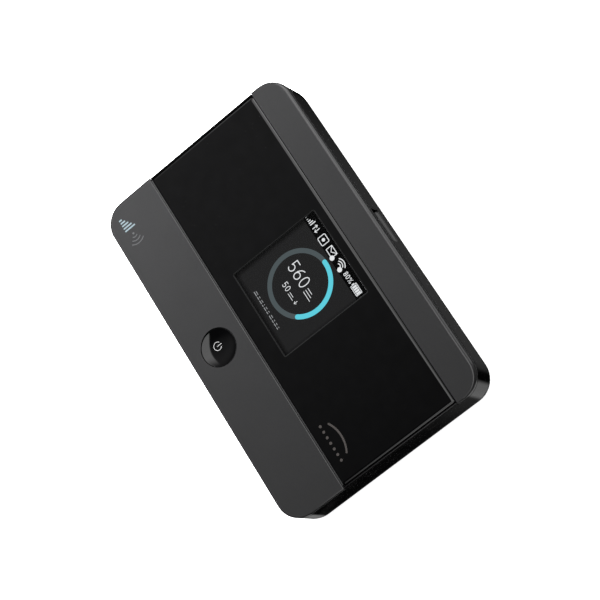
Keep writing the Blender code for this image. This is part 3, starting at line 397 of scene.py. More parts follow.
def printed(name, colour, strength=0.0, roughness=0.4):
    """Thin printed ink, a little uneven as screen print is; with strength the ink also glows, painted light that no
    lamp gives.
    """
    finish = Finish(name, colour, roughness)
    finish.tone(0.35 * MM, 0.08)
    # Painted light: the ink glows by itself so that it reads brighter
    if strength:
        finish.shader.inputs["Emission Color"].default_value = (*colour, 1.0)
        finish.shader.inputs["Emission Strength"].default_value = strength
    return finish.grain(0.08 * MM, 0.0012 * MM).material


def tinned_steel():
    """Rolled sheet with fine drawn lines and soft staining."""
    finish = Finish("steel", (0.58, 0.58, 0.56), 0.3, 1.0)
    finish.tone(2.0 * MM, 0.1)
    finish.gloss(0.7 * MM, 0.24, 0.42)
    lines = finish.stretched(60.0, 4000.0, 4000.0)
    streaks = finish.noise(1.0, 2.0, lines)
    return finish.grain(1.0, 0.0015 * MM, source=streaks).material


def foam():
    finish = Finish("foam_black", (0.02, 0.02, 0.021), 0.95)
    finish.tone(0.6 * MM, 0.25)
    return finish.grain(0.16 * MM, 0.05 * MM, 3.0).material


def flex_film():
    """Amber film with copper tracks that run along it."""
    finish = Finish("flex_amber", (0.3, 0.13, 0.02), 0.3)
    tracks = finish.node("ShaderNodeTexWave", wave_type='BANDS', bands_direction='X')
    tracks.inputs["Scale"].default_value = 1.0 / (0.7 * MM)
    finish.link(finish.place, tracks.inputs["Vector"])
    share = finish.spread(tracks.outputs["Fac"], 0.0, 1.0, 0.45, 0.6)
    colour = finish.blended(share, (0.3, 0.13, 0.02), (0.55, 0.27, 0.06))
    finish.link(colour, finish.shader.inputs["Base Color"])
    return finish.gloss(0.9 * MM, 0.24, 0.4).material


def circuit_green():
    """Solder-masked board: tracks and flooded areas as lighter cells in the green."""
    finish = Finish("board_green", (0.008, 0.07, 0.03), 0.35)
    cells = finish.node("ShaderNodeTexVoronoi", distance='MANHATTAN', feature='DISTANCE_TO_EDGE')
    cells.inputs["Scale"].default_value = 1.0 / (2.2 * MM)
    finish.link(finish.place, cells.inputs["Vector"])
    share = finish.spread(cells.outputs["Distance"], 0.0, 1.0, 0.03, 0.06)
    colour = finish.blended(share, (0.012, 0.11, 0.05), (0.006, 0.055, 0.024))
    finish.link(colour, finish.shader.inputs["Base Color"])
    finish.gloss(1.5 * MM, 0.28, 0.42)
    return finish.grain(0.6 * MM, 0.004 * MM, source=share).material


def chip_black():
    finish = Finish("chip_black", (0.012, 0.012, 0.013), 0.55)
    finish.tone(0.5 * MM, 0.2)
    return finish.grain(0.1 * MM, 0.004 * MM).material


def plated_copper():
    finish = Finish("copper", (0.75, 0.46, 0.26), 0.3, 1.0)
    finish.tone(1.5 * MM, 0.12)
    return finish.gloss(0.6 * MM, 0.22, 0.4).material


def socket_black():
    finish = Finish("socket_black", (0.014, 0.014, 0.015), 0.45)
    finish.tone(0.9 * MM, 0.15)
    return finish.grain(0.12 * MM, 0.005 * MM).material


def card_white():
    finish = Finish("card_white", (0.75, 0.75, 0.73), 0.4)
    finish.tone(3 * MM, 0.05)
    return finish.grain(0.2 * MM, 0.003 * MM).material


def battery_wrap():
    """Printed film over the cell, with a faint weave from its web."""
    finish = Finish("battery_wrap", (0.022, 0.023, 0.026), 0.4)
    finish.tone(5 * MM, 0.12)
    finish.gloss(2 * MM, 0.34, 0.48)
    return finish.grain(0.3 * MM, 0.006 * MM).material


def label_paper():
    finish = Finish("label_paper", (0.78, 0.78, 0.76), 0.55)
    finish.tone(4 * MM, 0.04)
    return finish.grain(0.09 * MM, 0.006 * MM, 4.0).material


def display_glass():
    finish = Finish("panel_glass", (0.006, 0.007, 0.008), 0.08)
    finish.tone(2 * MM, 0.1)
    return finish.gloss(3 * MM, 0.06, 0.12).material


def key_satin():
    """Side key: a polished lip that turns into a finely textured finger cove above it; the cove's reflection is turned
    almost off, painted shade of the slot.
    """
    finish = Finish("key_satin", (0.0008, 0.0008, 0.0009), 0.1)
    split = finish.node("ShaderNodeSeparateXYZ")
    finish.link(finish.place, split.inputs["Vector"])
    lip, cove = KEY_LOW.z + 0.4 * MM, KEY_LOW.z + 0.8 * MM
    # Painted shade: the cove's reflection is turned down to almost nothing so it reads as dark as the shaded slot; the
    # rougher texture is real
    finish.link(finish.spread(split.outputs["Z"], 0.5, 0.03, lip, cove),
                finish.shader.inputs["Specular IOR Level"])
    finish.link(finish.spread(split.outputs["Z"], 0.1, 0.6, lip, cove), finish.shader.inputs["Roughness"])
    return finish.grain(0.18 * MM, 0.003 * MM).material


def surround_grey():
    """Dull dark moulding round the screen, seen as a thin edge."""
    finish = Finish("surround_grey", (0.0085, 0.0085, 0.0087), 0.6, Specular_IOR_Level=0.1)
    finish.tone(0.5 * MM, 0.15)
    return finish.grain(0.1 * MM, 0.003 * MM).material


def seal_grey():
    """Dull grey strip beside the lens, a little mottled."""
    finish = Finish("seal_grey", (0.024, 0.024, 0.0245), 0.5, Specular_IOR_Level=0.3)
    finish.tone(0.8 * MM, 0.15)
    return finish.grain(0.1 * MM, 0.002 * MM).material


def cover_black():
    """Polished black underside with a soft moulding ripple."""
    finish = Finish("cover_black", (0.002, 0.002, 0.0021), 0.12)
    finish.tone(5 * MM, 0.15)
    finish.gloss(4 * MM, 0.1, 0.17)
    return finish.grain(2.2 * MM, 0.0008 * MM, 1.0).material


def floor_white():
    """Pale studio surface that glows a little, as a lit sweep does."""
    finish = Finish("floor_white", (0.9, 0.9, 0.9), 0.9)
    finish.tone(60 * MM, 0.01)
    finish.shader.inputs["Emission Color"].default_value = (1.0, 1.0, 1.0, 1.0)
    finish.shader.inputs["Emission Strength"].default_value = FLOOR_GLOW
    return finish.material


BAND_COLOUR = (0.02, 0.02, 0.0205)
FLOOR_GLOW = 1.0
FLOOR_CLEARANCE = 0.05 * MM

GLOSS = gloss_black()
BAND = band_grey()
MATTE = matte_black()
CLEAR = clear_acrylic()
LENS = lens_black()
PANE = clear_acrylic("pane_clear", density=1.33)      # stands in for an anti-glare coating
STEEL = tinned_steel()
FOAM = foam()
FLEX = flex_film()
BOARD = circuit_green()
CHIP = chip_black()
COPPER = plated_copper()
SOCKET = socket_black()
CARD = card_white()
WRAP = battery_wrap()
LABEL = label_paper()
PANEL = display_glass()
SURROUND = surround_grey()
SEAL = seal_grey()
COVER = cover_black()
KEY_FINISH = key_satin()


def inset_ring(inset, z):
    radius = max(CORNER_RADIUS - inset, 0.8 * MM)
    return ring(rounded_rect(HALF_X - inset, HALF_Y - inset, radius), z)


# Front housing ----------------------------------------------------------------------------

RIM_TOP = HOUSING_HIGH.z
RIM_ROUNDING = 0.4 * MM
RIM_INNER_X = 52.5 * MM
DECK_TOP = MASK_LOW.z - GAP
DECK_BOTTOM = DECK_TOP - 1.0 * MM
HOUSING_WALL = 1.4 * MM
SEAM_ROUNDING = 0.2 * MM
SEAM_GAP = 0.03 * MM


def front_housing():
    """Polished frame: side walls, rim and deck, with soft-edged openings for key and port."""
    low = HOUSING_LOW.z - GAP + SEAM_GAP
    rings = [inset_ring(HOUSING_WALL, DECK_BOTTOM), inset_ring(HOUSING_WALL, low)]
    for angle in quarter(4):
        inset = SEAM_ROUNDING * (1 - math.sin(angle))
        rings.append(inset_ring(inset, low + SEAM_ROUNDING * (1 - math.cos(angle))))
    for angle in quarter(6):
        inset = RIM_ROUNDING * (1 - math.cos(angle))
        rings.append(inset_ring(inset, RIM_TOP - RIM_ROUNDING * (1 - math.sin(angle))))
    housing = piece("housing_shell", loft(rings), GLOSS, "unit", ["front_housing"])
    recess = rounded_rect(RIM_INNER_X, HALF_Y + GAP, CORNER_RADIUS - GAP / 2)
    boolean(housing, prism(recess, DECK_TOP, FRONT_Z + MM))
    for low_y, high_y in ((UPPER_LOW.y - GAP, HALF_Y + MM), (-HALF_Y - MM, LOWER_HIGH.y + GAP)):
        ledge = boxed(-HALF_X - MM, HALF_X + MM, low_y, high_y)
        boolean(housing, prism(ledge, DECK_TOP, FRONT_Z + MM))
    opening = boxed(PANEL_LOW.x - MM, PANEL_HIGH.x + MM, PANEL_LOW.y - MM, PANEL_HIGH.y + MM)
    boolean(housing, prism(opening, DECK_BOTTOM - MM, FRONT_Z))
    hole = [(0, DECK_BOTTOM - MM), (HOLE_RADIUS, DECK_BOTTOM - MM),
            (HOLE_RADIUS, FRONT_Z), (0, FRONT_Z)]
    boolean(housing, turned(hole, BUTTON_X, BUTTON_Y))
    slot_half_x = KEY_FACE_HALF_X + GAP
    slot_half_z = (KEY_HIGH.z - KEY_LOW.z) / 2 + GAP
    slot_z = (KEY_HIGH.z + KEY_LOW.z) / 2
    sections = mouth(slot_half_x, slot_half_z, 0.5 * MM, HALF_Y - 2.0 * MM, HALF_Y, 0.25 * MM)
    boolean(housing, loft([[Vector((KEY_X + u, y, slot_z + v)) for u, v in outline]
                           for y, outline in sections]))
    port_half_y = PORT_HIGH.y + GAP
    port_half_z = (PORT_HIGH.z - PORT_LOW.z) / 2 + GAP
    port_z = (PORT_HIGH.z + PORT_LOW.z) / 2
    sections = mouth(port_half_y, port_half_z, 0.9 * MM, HALF_X - 2.0 * MM, HALF_X, 0.2 * MM)
    boolean(housing, loft([[Vector((-x, u, port_z + v)) for u, v in outline]
                           for x, outline in sections]))


# Trim bands, lens and mask ----------------------------------------------------------------

BAND_EDGE_UPPER = 1.2 * MM
BAND_EDGE_LOWER = 0.35 * MM
BAND_EDGE_SHORT = 0.35 * MM
BAND_INNER_WIDTH = 0.32 * MM
BAND_INNER_DROP = 0.12 * MM
BAND_EDGE_STEPS = 10
MARK_RELIEF = 0.02 * MM          # height of the printed marks on the bands


def band_outline(half_x, inner_y):
    """Points and outward normals of the band between inner_y and the long outer side."""
    side = 1 if inner_y > 0 else -1
    points = [(Vector((half_x, inner_y)), Vector((1, -side)))]
    for end in (1, -1):
        steps = range(CORNER_STEPS + 1) if end > 0 else range(CORNER_STEPS, -1, -1)
        for step in steps:
            angle = math.pi / 2 * step / CORNER_STEPS
            normal = Vector((end * math.cos(angle), side * math.sin(angle)))
            centre = Vector((end * (half_x - CORNER_RADIUS), side * (HALF_Y - CORNER_RADIUS)))
            points.append((centre + CORNER_RADIUS * normal, normal))
    points.append((Vector((-half_x, inner_y)), Vector((-1, -side))))
    return points


def band(name, low, high, inner_y, long_edge, node):
    """Trim plate that rolls over widely along the long side, tightly at its ends and inner edge."""
    side = math.copysign(1, inner_y)
    outline = band_outline(high.x, inner_y)
    rings = [[Vector((p.x, p.y, low.z)) for p, _ in outline]]
    for angle in quarter(BAND_EDGE_STEPS):
        points = []
        for p, normal in outline:
            outward = normal.y * side
            if outward < 0:
                width, drop = BAND_INNER_WIDTH, BAND_INNER_DROP
            else:
                width = drop = BAND_EDGE_SHORT + (long_edge - BAND_EDGE_SHORT) * outward ** 2
            place = p - normal * width * (1 - math.cos(angle))
            z = high.z - MARK_RELIEF - drop * (1 - math.sin(angle))
            points.append(Vector((place.x, place.y, z)))
        rings.append(points)
    return piece(name, loft(rings), BAND, "unit", [node])


SCREEN_Z = PANEL_HIGH.z
LAYER = 0.012 * MM
LENS_BEVEL = 0.7 * MM
LENS_BEVEL_DROP = 0.32 * MM
WINDOW_RADIUS = 0.3 * MM
PANE_MARGIN = 1.5 * MM           # how far the pane runs behind the black border
PANE_CLEARANCE = 0.02 * MM
SURROUND_WIDTH = 0.36 * MM
SURROUND_DEPTH = 0.5 * MM
SURROUND_SLOPE = 0.14 * MM       # how far the surround falls towards the screen
PANE_DROP = 0.18 * MM            # pane's front below the lens's
SEAL_CLEARANCE = 0.03 * MM
SEAL_CROWN = 0.06 * MM
SEAL_TOP = LENS_HIGH.z - 0.12 * MM


def lens_outline(inset, radius):
    return boxed(LENS_LOW.x + inset, LENS_HIGH.x - inset,
                 LENS_LOW.y + inset, LENS_HIGH.y - inset, radius)


def window_outline(grow):
    return boxed(-WINDOW_HALF_X - grow, WINDOW_HALF_X + grow, WINDOW_LOW_Y - grow, WINDOW_HIGH_Y + grow,
                 WINDOW_RADIUS + max(grow, 0))


def window_lens():
    """Black polished strip with a bevel, the clear pane on the screen, and the window's surround."""
    top = LENS_HIGH.z
    full = lens_outline(0, 0.5 * MM)
    rings = [ring(full, LENS_LOW.z), ring(full, top - LENS_BEVEL_DROP),
             ring(lens_outline(LENS_BEVEL, 0.3 * MM), top)]
    lens = piece("lens_strip", loft(rings), LENS, "unit",
                 ["window_lens", "lens_mask"], smooth=20.0)
    under = top - SURROUND_DEPTH
    boolean(lens, prism(window_outline(PANE_MARGIN), LENS_LOW.z - MM, under))
    boolean(lens, prism(window_outline(SURROUND_WIDTH), LENS_LOW.z, top + MM))
    outer, inner = window_outline(SURROUND_WIDTH - PANE_CLEARANCE), window_outline(0)
    crest = window_outline(SURROUND_WIDTH - SURROUND_SLOPE)
    rings = [ring(outer, under), ring(outer, top), ring(crest, top),
             ring(inner, top - SURROUND_SLOPE), ring(inner, under)]
    piece("window_surround", loft(rings, closed=True), SURROUND, "unit", smooth=15.0)
    wide = window_outline(PANE_MARGIN - PANE_CLEARANCE)
    narrow = window_outline(-PANE_CLEARANCE)
    shoulder = under - PANE_CLEARANCE
    rings = [ring(wide, SCREEN_Z - LAYER), ring(wide, shoulder),
             ring(narrow, shoulder), ring(narrow, top - PANE_DROP)]
    piece("window_pane", loft(rings), PANE, "unit", smooth=15.0)


def lens_seal():
    """Narrow strip that fills the gap between lens and lower band."""
    low_y, high_y = LOWER_HIGH.y + SEAL_CLEARANCE, LENS_LOW.y - SEAL_CLEARANCE
    half_x = LENS_HIGH.x
    crown = boxed(-half_x + SEAL_CROWN, half_x - SEAL_CROWN, low_y + SEAL_CROWN, high_y - SEAL_CROWN)
    foot = boxed(-half_x, half_x, low_y, high_y)
    rings = [ring(foot, LENS_LOW.z), ring(foot, SEAL_TOP - SEAL_CROWN), ring(crown, SEAL_TOP)]
    piece("lens_seal", loft(rings), SEAL, "unit")


# Display ----------------------------------------------------------------------------------

SCREEN_X, SCREEN_Y = -0.3 * MM, -0.2 * MM      # picture's offset from the window's middle
STATUS_Y = 16.1 * MM


def stroke(points, width):
    """Outline of an open line of even width with round ends."""
    half = width / 2
    left, right = [], []
    count = len(points)
    for k in range(count):
        before, after = points[max(k - 1, 0)], points[min(k + 1, count - 1)]
        along = (Vector(after) - Vector(before)).normalized()
        if 0 < k < count - 1:
            first = (Vector(points[k]) - Vector(before)).normalized()
            second = (Vector(after) - Vector(points[k])).normalized()
            along = (first + second).normalized()
            reach = half / max(0.35, along.dot(first))
        else:
            reach = half
        across = Vector((-along.y, along.x))
        left.append(Vector(points[k]) + across * reach)
        right.append(Vector(points[k]) - across * reach)
    outline = list(right)
    outline += round_end(points[-2], points[-1], half)
    outline += reversed(left)
    outline += round_end(points[1], points[0], half)
    return [(p.x, p.y) for p in outline]


def round_end(before, end, radius, steps=6):
    """Points of the half circle that closes a line at its end."""
    along = (Vector(end) - Vector(before)).normalized()
    start = math.atan2(-along.x, along.y)
    points = []
    for step in range(1, steps):
        angle = start + math.pi * step / steps
        points.append(Vector(end) + radius * Vector((math.cos(angle), math.sin(angle))))
    return points


def arc(x, y, radius_x, radius_y, start, end, steps=16):
    """Points along an ellipse's arc; angles in degrees, counter-clockwise from +X."""
    points = []
    for step in range(steps + 1):
        angle = math.radians(start + (end - start) * step / steps)
        points.append((x + radius_x * math.cos(angle), y + radius_y * math.sin(angle)))
    return points


def disc(x, y, radius, steps=24):
    return arc(x, y, radius, radius, 0, 360 - 360 / steps, steps - 1)


class Picture:
    """Flat shapes gathered into one thin piece."""

    def __init__(self, low_z, high_z, x=0.0, y=0.0, size=1.0):
        self.bm = bmesh.new()
        self.low_z, self.high_z = low_z, high_z
        self.x, self.y, self.size = x, y, size

    def put(self, points):
        return [(self.x + self.size * px, self.y + self.size * py) for px, py in points]

    def fill(self, outline):
        placed = self.put(outline)
        add_loft(self.bm, [ring(placed, self.low_z), ring(placed, self.high_z)])

    def line(self, points, width):
        self.fill(stroke(points, width))

    def loop(self, outer, inner):
        outer, inner = self.put(outer), self.put(inner)
        rings = [ring(outer, self.low_z), ring(outer, self.high_z),
                 ring(inner, self.high_z), ring(inner, self.low_z)]
        add_loft(self.bm, rings, closed=True)

    def oval(self, x, y, radius_x, radius_y, width, steps=32):
        last = 360 - 360 / steps
        outer = arc(x, y, radius_x + width / 2, radius_y + width / 2, 0, last, steps - 1)
        inner = arc(x, y, radius_x - width / 2, radius_y - width / 2, 0, last, steps - 1)
        self.loop(outer, inner)

    def frame(self, low_x, high_x, low_y, high_y, width, radius):
        outer = boxed(low_x, high_x, low_y, high_y, radius)
        inner = boxed(low_x + width, high_x - width, low_y + width, high_y - width,
                      max(radius - width, 0.02))
        self.loop(outer, inner)

    def digit(self, value, x, y, height, width):
        """Thin numeral whose lower left corner is at (x, y); width is the line's."""
        half = width / 2
        wide = height * 0.56
        mid_x = x + wide / 2
        top, bottom = y + height - half, y + half
        left, right = x + half, x + wide - half
        if value == 0:
            self.oval(mid_x, y + height / 2, (right - left) / 2, (top - bottom) / 2, width)
        elif value == 5:
            bowl_y = bottom + height * 0.27
            bowl = arc(mid_x - wide * 0.03, bowl_y, (right - left) / 2, bowl_y - bottom, 140, -142, 20)
            corner = (left + wide * 0.1, top)
            self.line([(right - wide * 0.05, top), corner], width)
            self.line([corner, bowl[0]], width)
            self.line(bowl, width)
        elif value == 6:
            bowl_y = bottom + height * 0.27
            self.oval(mid_x, bowl_y, (right - left) / 2, bowl_y - bottom, width)
            middle = right - wide * 0.05
            self.line(arc(middle, bowl_y, middle - left, top - bowl_y, 180, 96, 12), width)
        elif value == 8:
            upper = height * 0.22
            lower = (top - bottom) / 2 - upper
            self.oval(mid_x, top - upper, (right - left) * 0.43, upper, width)
            self.oval(mid_x, bottom + lower, (right - left) / 2, lower, width)

    def make(self, name, finish, slot, body="unit"):
        return piece(name, self.bm, finish, body)


def screen():
    """The panel and the picture that it shows."""
    low = PANEL_LOW
    rings = [ring(boxed(low.x, PANEL_HIGH.x, low.y, PANEL_HIGH.y, 0.5 * MM), z) for z in (low.z, SCREEN_Z)]
    piece("panel_glass", loft(rings), PANEL, "unit", ["display_panel"])
    ground = screen_light("screen_ground", (0.016, 0.016, 0.0163), 1.0)
    bar = screen_light("screen_bar", (0.0002, 0.0002, 0.0003), 1.0)
    white = screen_light("screen_white", (0.85, 0.87, 0.88), 1.0)
    grey = screen_light("screen_grey", (0.078, 0.098, 0.104), 1.0)
    cyan = screen_light("screen_cyan", (0.12, 0.66, 0.78), 1.0)
    soft = screen_light("screen_soft", (0.36, 0.37, 0.38), 1.0)

    def layer(level):
        z = SCREEN_Z + LAYER * level
        return Picture(z, z + LAYER * 0.8, SCREEN_X, SCREEN_Y, MM)

    edge, radius = 1.2, 0.6
    field = layer(0)
    field.fill(boxed(-13.9 - edge, 13.9 + edge, -8.85 - edge, STATUS_Y / MM, radius))
    field.make("screen_field", ground, "panel_glass")
    field = layer(0)
    field.fill(boxed(-13.9 - edge, 13.9 + edge, STATUS_Y / MM, 19.9 + edge, radius))
    field.make("screen_status", bar, "panel_glass")

    dial = layer(1)
    dial.oval(0, 5.45, 9.05, 9.05, 1.4, 96)
    dial.make("screen_dial", grey, "panel_glass")
    used = layer(2)
    used.line(arc(0, 5.45, 9.05, 9.05, 93, -39, 60), 1.4)
    used.make("screen_dial_used", cyan, "panel_glass")

    read = layer(1)
    for k, value in enumerate((5, 6, 0)):
        read.digit(value, -6.1 + 2.75 * k, 4.8, 3.7, 0.27)
    for k in range(3):
        read.fill(boxed(2.4, 5.8 - 0.6 * k, 4.9 + 0.8 * k, 5.08 + 0.8 * k, 0.08))
    for k, value in enumerate((5, 0)):
        read.digit(value, -3.0 + 1.4 * k, 0.9, 1.85, 0.18)
    read.fill(boxed(0.1, 2.5, 1.0, 1.16, 0.07))
    read.fill(boxed(0.1, 1.9, 1.65, 1.81, 0.07))
    read.line([(3.5, 2.1), (3.5, 1.0)], 0.15)
    read.line([(3.1, 1.45), (3.5, 0.98), (3.9, 1.45)], 0.15)
    status_icons(read)
    read.make("screen_readout", white, "panel_glass")

    caption = layer(1)
    x = -6.5
    for width in (1.5, 0.9, 1.2, 0.6, 1.1, 0.8, 0, 1.3, 0.8, 1.0, 0.7):
        if width:
            caption.fill(boxed(x, x + width, -6.9, -6.68, 0.1))
            caption.fill(boxed(x + 0.2, x + width - 0.1, -6.3, -6.12, 0.08))
        x += width + 0.3
    caption.make("screen_caption", soft, "panel_glass")


def status_icons(read):
    """Icons along the top of the display: signal, link, roaming box, post, radio, charge."""
    base = 16.75
    for k in range(4):
        read.fill(boxed(-13.4 + 0.62 * k, -13.1 + 0.62 * k, base, base + 0.5 + 0.45 * k))
    for x, tip in ((-10.1, 1), (-9.0, -1)):
        middle = base + 0.85
        read.line([(x, middle - tip * 0.8), (x, middle + tip * 0.75)], 0.24)
        read.line([(x - 0.42, middle + tip * 0.35), (x, middle + tip * 0.8),
                   (x + 0.42, middle + tip * 0.35)], 0.22)
    read.frame(-7.1, -4.3, base - 0.5, base + 2.2, 0.24, 0.45)
    read.fill(disc(-5.7, base + 0.85, 0.5))
    read.frame(-3.1, 0.0, base - 0.15, base + 2.05, 0.24, 0.25)
    read.line([(-2.9, base + 1.85), (-1.55, base + 0.75), (-0.2, base + 1.85)], 0.22)
    read.fill(disc(0.0, base + 0.05, 0.72))
    for radius in (0.75, 1.45, 2.15):
        read.line(arc(2.9, base + 0.1, radius, radius, 45, 135, 10), 0.28)
    read.fill(disc(3.95, base + 0.05, 0.72))
    for k, value in enumerate((8, 0)):
        read.digit(value, 5.55 + 1.05 * k, base + 0.1, 1.5, 0.2)
    read.oval(7.95, base + 1.3, 0.22, 0.22, 0.14, 16)
    read.oval(8.65, base + 0.4, 0.22, 0.22, 0.14, 16)
    read.line([(7.9, base + 0.15), (8.7, base + 1.55)], 0.14)
    read.frame(9.7, 13.0, base - 0.15, base + 1.9, 0.2, 0.2)
    read.fill(boxed(9.4, 9.66, base + 0.5, base + 1.25))
    for k in range(4):
        read.fill(boxed(10.1 + 0.7 * k, 10.65 + 0.7 * k, base + 0.2, base + 1.55))


# Power button and menu key ----------------------------------------------------------------

BUTTON_X = (BUTTON_LOW.x + BUTTON_HIGH.x) / 2
BUTTON_Y = (BUTTON_LOW.y + BUTTON_HIGH.y) / 2
BUTTON_RADIUS = 5.4 * MM
HOLE_RADIUS = 5.5 * MM
BUTTON_TOP = BUTTON_HIGH.z
BUTTON_DISH = 0.6 * MM
BUTTON_ROUNDING = 0.1 * MM
FLANGE_TOP = DECK_BOTTOM - GAP
ICON_RADIUS = 1.18 * MM
ICON_LINE = 0.13 * MM
SIGN_REACH = 2.1 * MM            # farthest of the sign from the button's middle
ICON_X, ICON_Y = -0.72 * MM, -0.3 * MM         # sign's offset from the button's middle


def dish_z(radius):
    """Height of the dished top: nearly flat in the middle, steeper towards the rim."""
    return BUTTON_TOP - BUTTON_DISH * (1 - (radius / (BUTTON_RADIUS - BUTTON_ROUNDING)) ** 3)


def power_button():
    """Polished cap with its dish, retaining flange, stem and printed power sign."""
    rim = BUTTON_RADIUS - BUTTON_ROUNDING
    flange = BUTTON_HIGH.x - BUTTON_X
    stem = 1.2 * MM
    profile = [(0, BUTTON_LOW.z), (stem, BUTTON_LOW.z), (stem, FLANGE_TOP - 0.5 * MM), (flange, FLANGE_TOP - 0.5 * MM),
               (flange, FLANGE_TOP), (BUTTON_RADIUS, FLANGE_TOP)]
    for angle in quarter(6):
        profile.append((rim + BUTTON_ROUNDING * math.cos(angle),
                        BUTTON_TOP - BUTTON_ROUNDING * (1 - math.sin(angle))))
    for step in range(1, 24):
        radius = rim * (1 - step / 24)
        profile.append((radius, dish_z(radius)))
    profile.append((0, dish_z(0)))
    piece("power_cap", turned(profile, BUTTON_X, BUTTON_Y, 128), GLOSS, "power", ["power_button"],
          smooth=50.0)
    low = dish_z(0) - 0.01 * MM
    sign = Picture(low, dish_z(SIGN_REACH) + 0.01 * MM, BUTTON_X + ICON_X, BUTTON_Y + ICON_Y)
    sign.line(arc(0, 0, ICON_RADIUS, ICON_RADIUS, 125, 415, 40), ICON_LINE)
    sign.line([(0, ICON_RADIUS * 1.15), (0, -ICON_RADIUS * 0.15)], ICON_LINE)
    # The sign's ink glows at 0.6: painted light that brightens the print
    sign.make("power_sign", printed("sign_white", (0.3, 0.3, 0.3), 0.6), "gloss_black", "power")


KEY_X = (KEY_LOW.x + KEY_HIGH.x) / 2
KEY_FACE_HALF_X = (KEY_HIGH.x - KEY_LOW.x) / 2 - 1.0 * MM


def menu_key():
    """Bar key: a flush lip at the bottom that curves up into a deep finger cove."""
    outer_y, lip_z = KEY_HIGH.y, KEY_LOW.z + 0.35 * MM
    deep_y = HALF_Y - 1.7 * MM
    cove_z = KEY_LOW.z + 2.0 * MM
    profile = [(KEY_LOW.y + 1.0 * MM, KEY_LOW.z), (outer_y - 0.1 * MM, KEY_LOW.z), (outer_y, KEY_LOW.z + 0.1 * MM),
               (outer_y, lip_z)]
    for angle in quarter(8):
        y = deep_y + (outer_y - deep_y) * (1 - math.sin(angle))
        z = lip_z + (cove_z - lip_z) * (1 - math.cos(angle))
        profile.append((y, z))
    profile += [(deep_y, KEY_HIGH.z - 0.1 * MM), (deep_y - 0.1 * MM, KEY_HIGH.z),
                (KEY_LOW.y + 1.0 * MM, KEY_HIGH.z)]
    rings = []
    for x, shrink in ((-KEY_FACE_HALF_X, 0.08 * MM), (-KEY_FACE_HALF_X + 0.1 * MM, 0), (KEY_FACE_HALF_X - 0.1 * MM, 0),
                      (KEY_FACE_HALF_X, 0.08 * MM)):
        rings.append([Vector((KEY_X + x, y - shrink, z)) for y, z in profile])
    key = piece("key_bar", loft(rings), KEY_FINISH, "menu", ["menu_key"])
    flange_y = KEY_LOW.y + 0.85 * MM
    front_y = flange_y + 0.8 * MM
    flange = [(flange_y, KEY_LOW.z + 0.4 * MM), (front_y, KEY_LOW.z + 0.4 * MM), (front_y, FLANGE_TOP),
              (flange_y, FLANGE_TOP)]
    half = KEY_HIGH.x - KEY_X
    boolean(key, loft([[Vector((KEY_X + x, y, z)) for y, z in flange] for x in (-half, half)]), 'UNION')


# Printed marks ----------------------------------------------------------------------------

def band_mark():
    """Plain signal mark on the lower band: rising bars and two radio arcs."""
    low = LOWER_HIGH.z - 2 * MARK_RELIEF
    mark = Picture(low, LOWER_HIGH.z, -49.1 * MM, -29.1 * MM, 1.08 * MM)
    for k in range(5):
        mark.fill(boxed(0.2 + 0.85 * k, 0.62 + 0.85 * k, 0, 0.9 + 0.62 * k, 0.12))
    # Faint painted glow in the marks' ink
    mark.make("band_mark", printed("mark_blue", (0.11, 0.145, 0.16), 0.1), "band_grey")
    waves = Picture(low, LOWER_HIGH.z, -49.1 * MM, -29.1 * MM, 1.08 * MM)
    for radius in (1.1, 2.1, 3.1):
        waves.line(arc(5.6, 1.7, radius, radius, -38, 38, 16), 0.26)
    waves.fill(disc(5.6, 1.7, 0.3))
    waves.make("band_waves", printed("mark_grey", (0.042, 0.043, 0.045), 0.05), "band_grey")


def lens_mark():
    """Plain, dim mark on the lens: a row of dots under a flat arc."""
    low = LENS_HIGH.z - 0.01 * MM
    mark = Picture(low, LENS_HIGH.z + 0.003 * MM, 41.0 * MM, -10.2 * MM, MM)
    for k in range(7):
        mark.fill(disc(-5.4 + 1.8 * k, -0.9, 0.42, 16))
    mark.line(arc(0, -6.5, 9.2, 9.2, 60, 120, 30), 0.55)
    mark.make("lens_mark", printed("mark_dim", (0.034, 0.03, 0.028), 0.0), "mask_black")


# Carried-over CAD nodes -------------------------------------------------------------------

CARRIED = {
    "rear_cover": COVER, "inner_chassis": MATTE, "reset_button": MATTE, "light_guide": CLEAR,
    "display_gasket": FOAM, "backlight_tray": STEEL, "display_flex": FLEX, "power_switch": STEEL,
    "menu_switch": STEEL, "reset_switch": STEEL, "main_board": BOARD, "modem_shield_can": STEEL,
    "wifi_shield_can": STEEL, "memory_chip": CHIP, "power_chip": CHIP, "usb_shell": STEEL, "usb_tongue": SOCKET,
    "main_antenna": COPPER, "diversity_antenna": COPPER, "wifi_antenna": COPPER, "sim_socket": STEEL,
    "sim_card": CARD, "microsd_socket": STEEL, "battery_connector": SOCKET, "battery_cell": WRAP,
    "battery_end_cap": SOCKET, "rating_label": LABEL, "chassis_screw_1": STEEL, "chassis_screw_2": STEEL,
    "chassis_screw_3": STEEL, "chassis_screw_4": STEEL, "board_screw_1": STEEL, "board_screw_2": STEEL,
}


def carried_over():
    for node, finish in CARRIED.items():
        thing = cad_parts[node]
        thing.data.materials.clear()
        thing.data.materials.append(finish)


# Stage, light and camera ------------------------------------------------------------------

def floor():
    bm = bmesh.new()
    bmesh.ops.create_grid(bm, x_segments=4, y_segments=4, size=6.0)
    mesh = bpy.data.meshes.new("floor")
    bm.to_mesh(mesh)
    bm.free()
    mesh.materials.append(floor_white())
    ground = bpy.data.objects.new("floor", mesh)
    bpy.context.collection.objects.link(ground)
    ground.location.z = COVER_LOW.z - FLOOR_CLEARANCE
    ground.visible_glossy = False


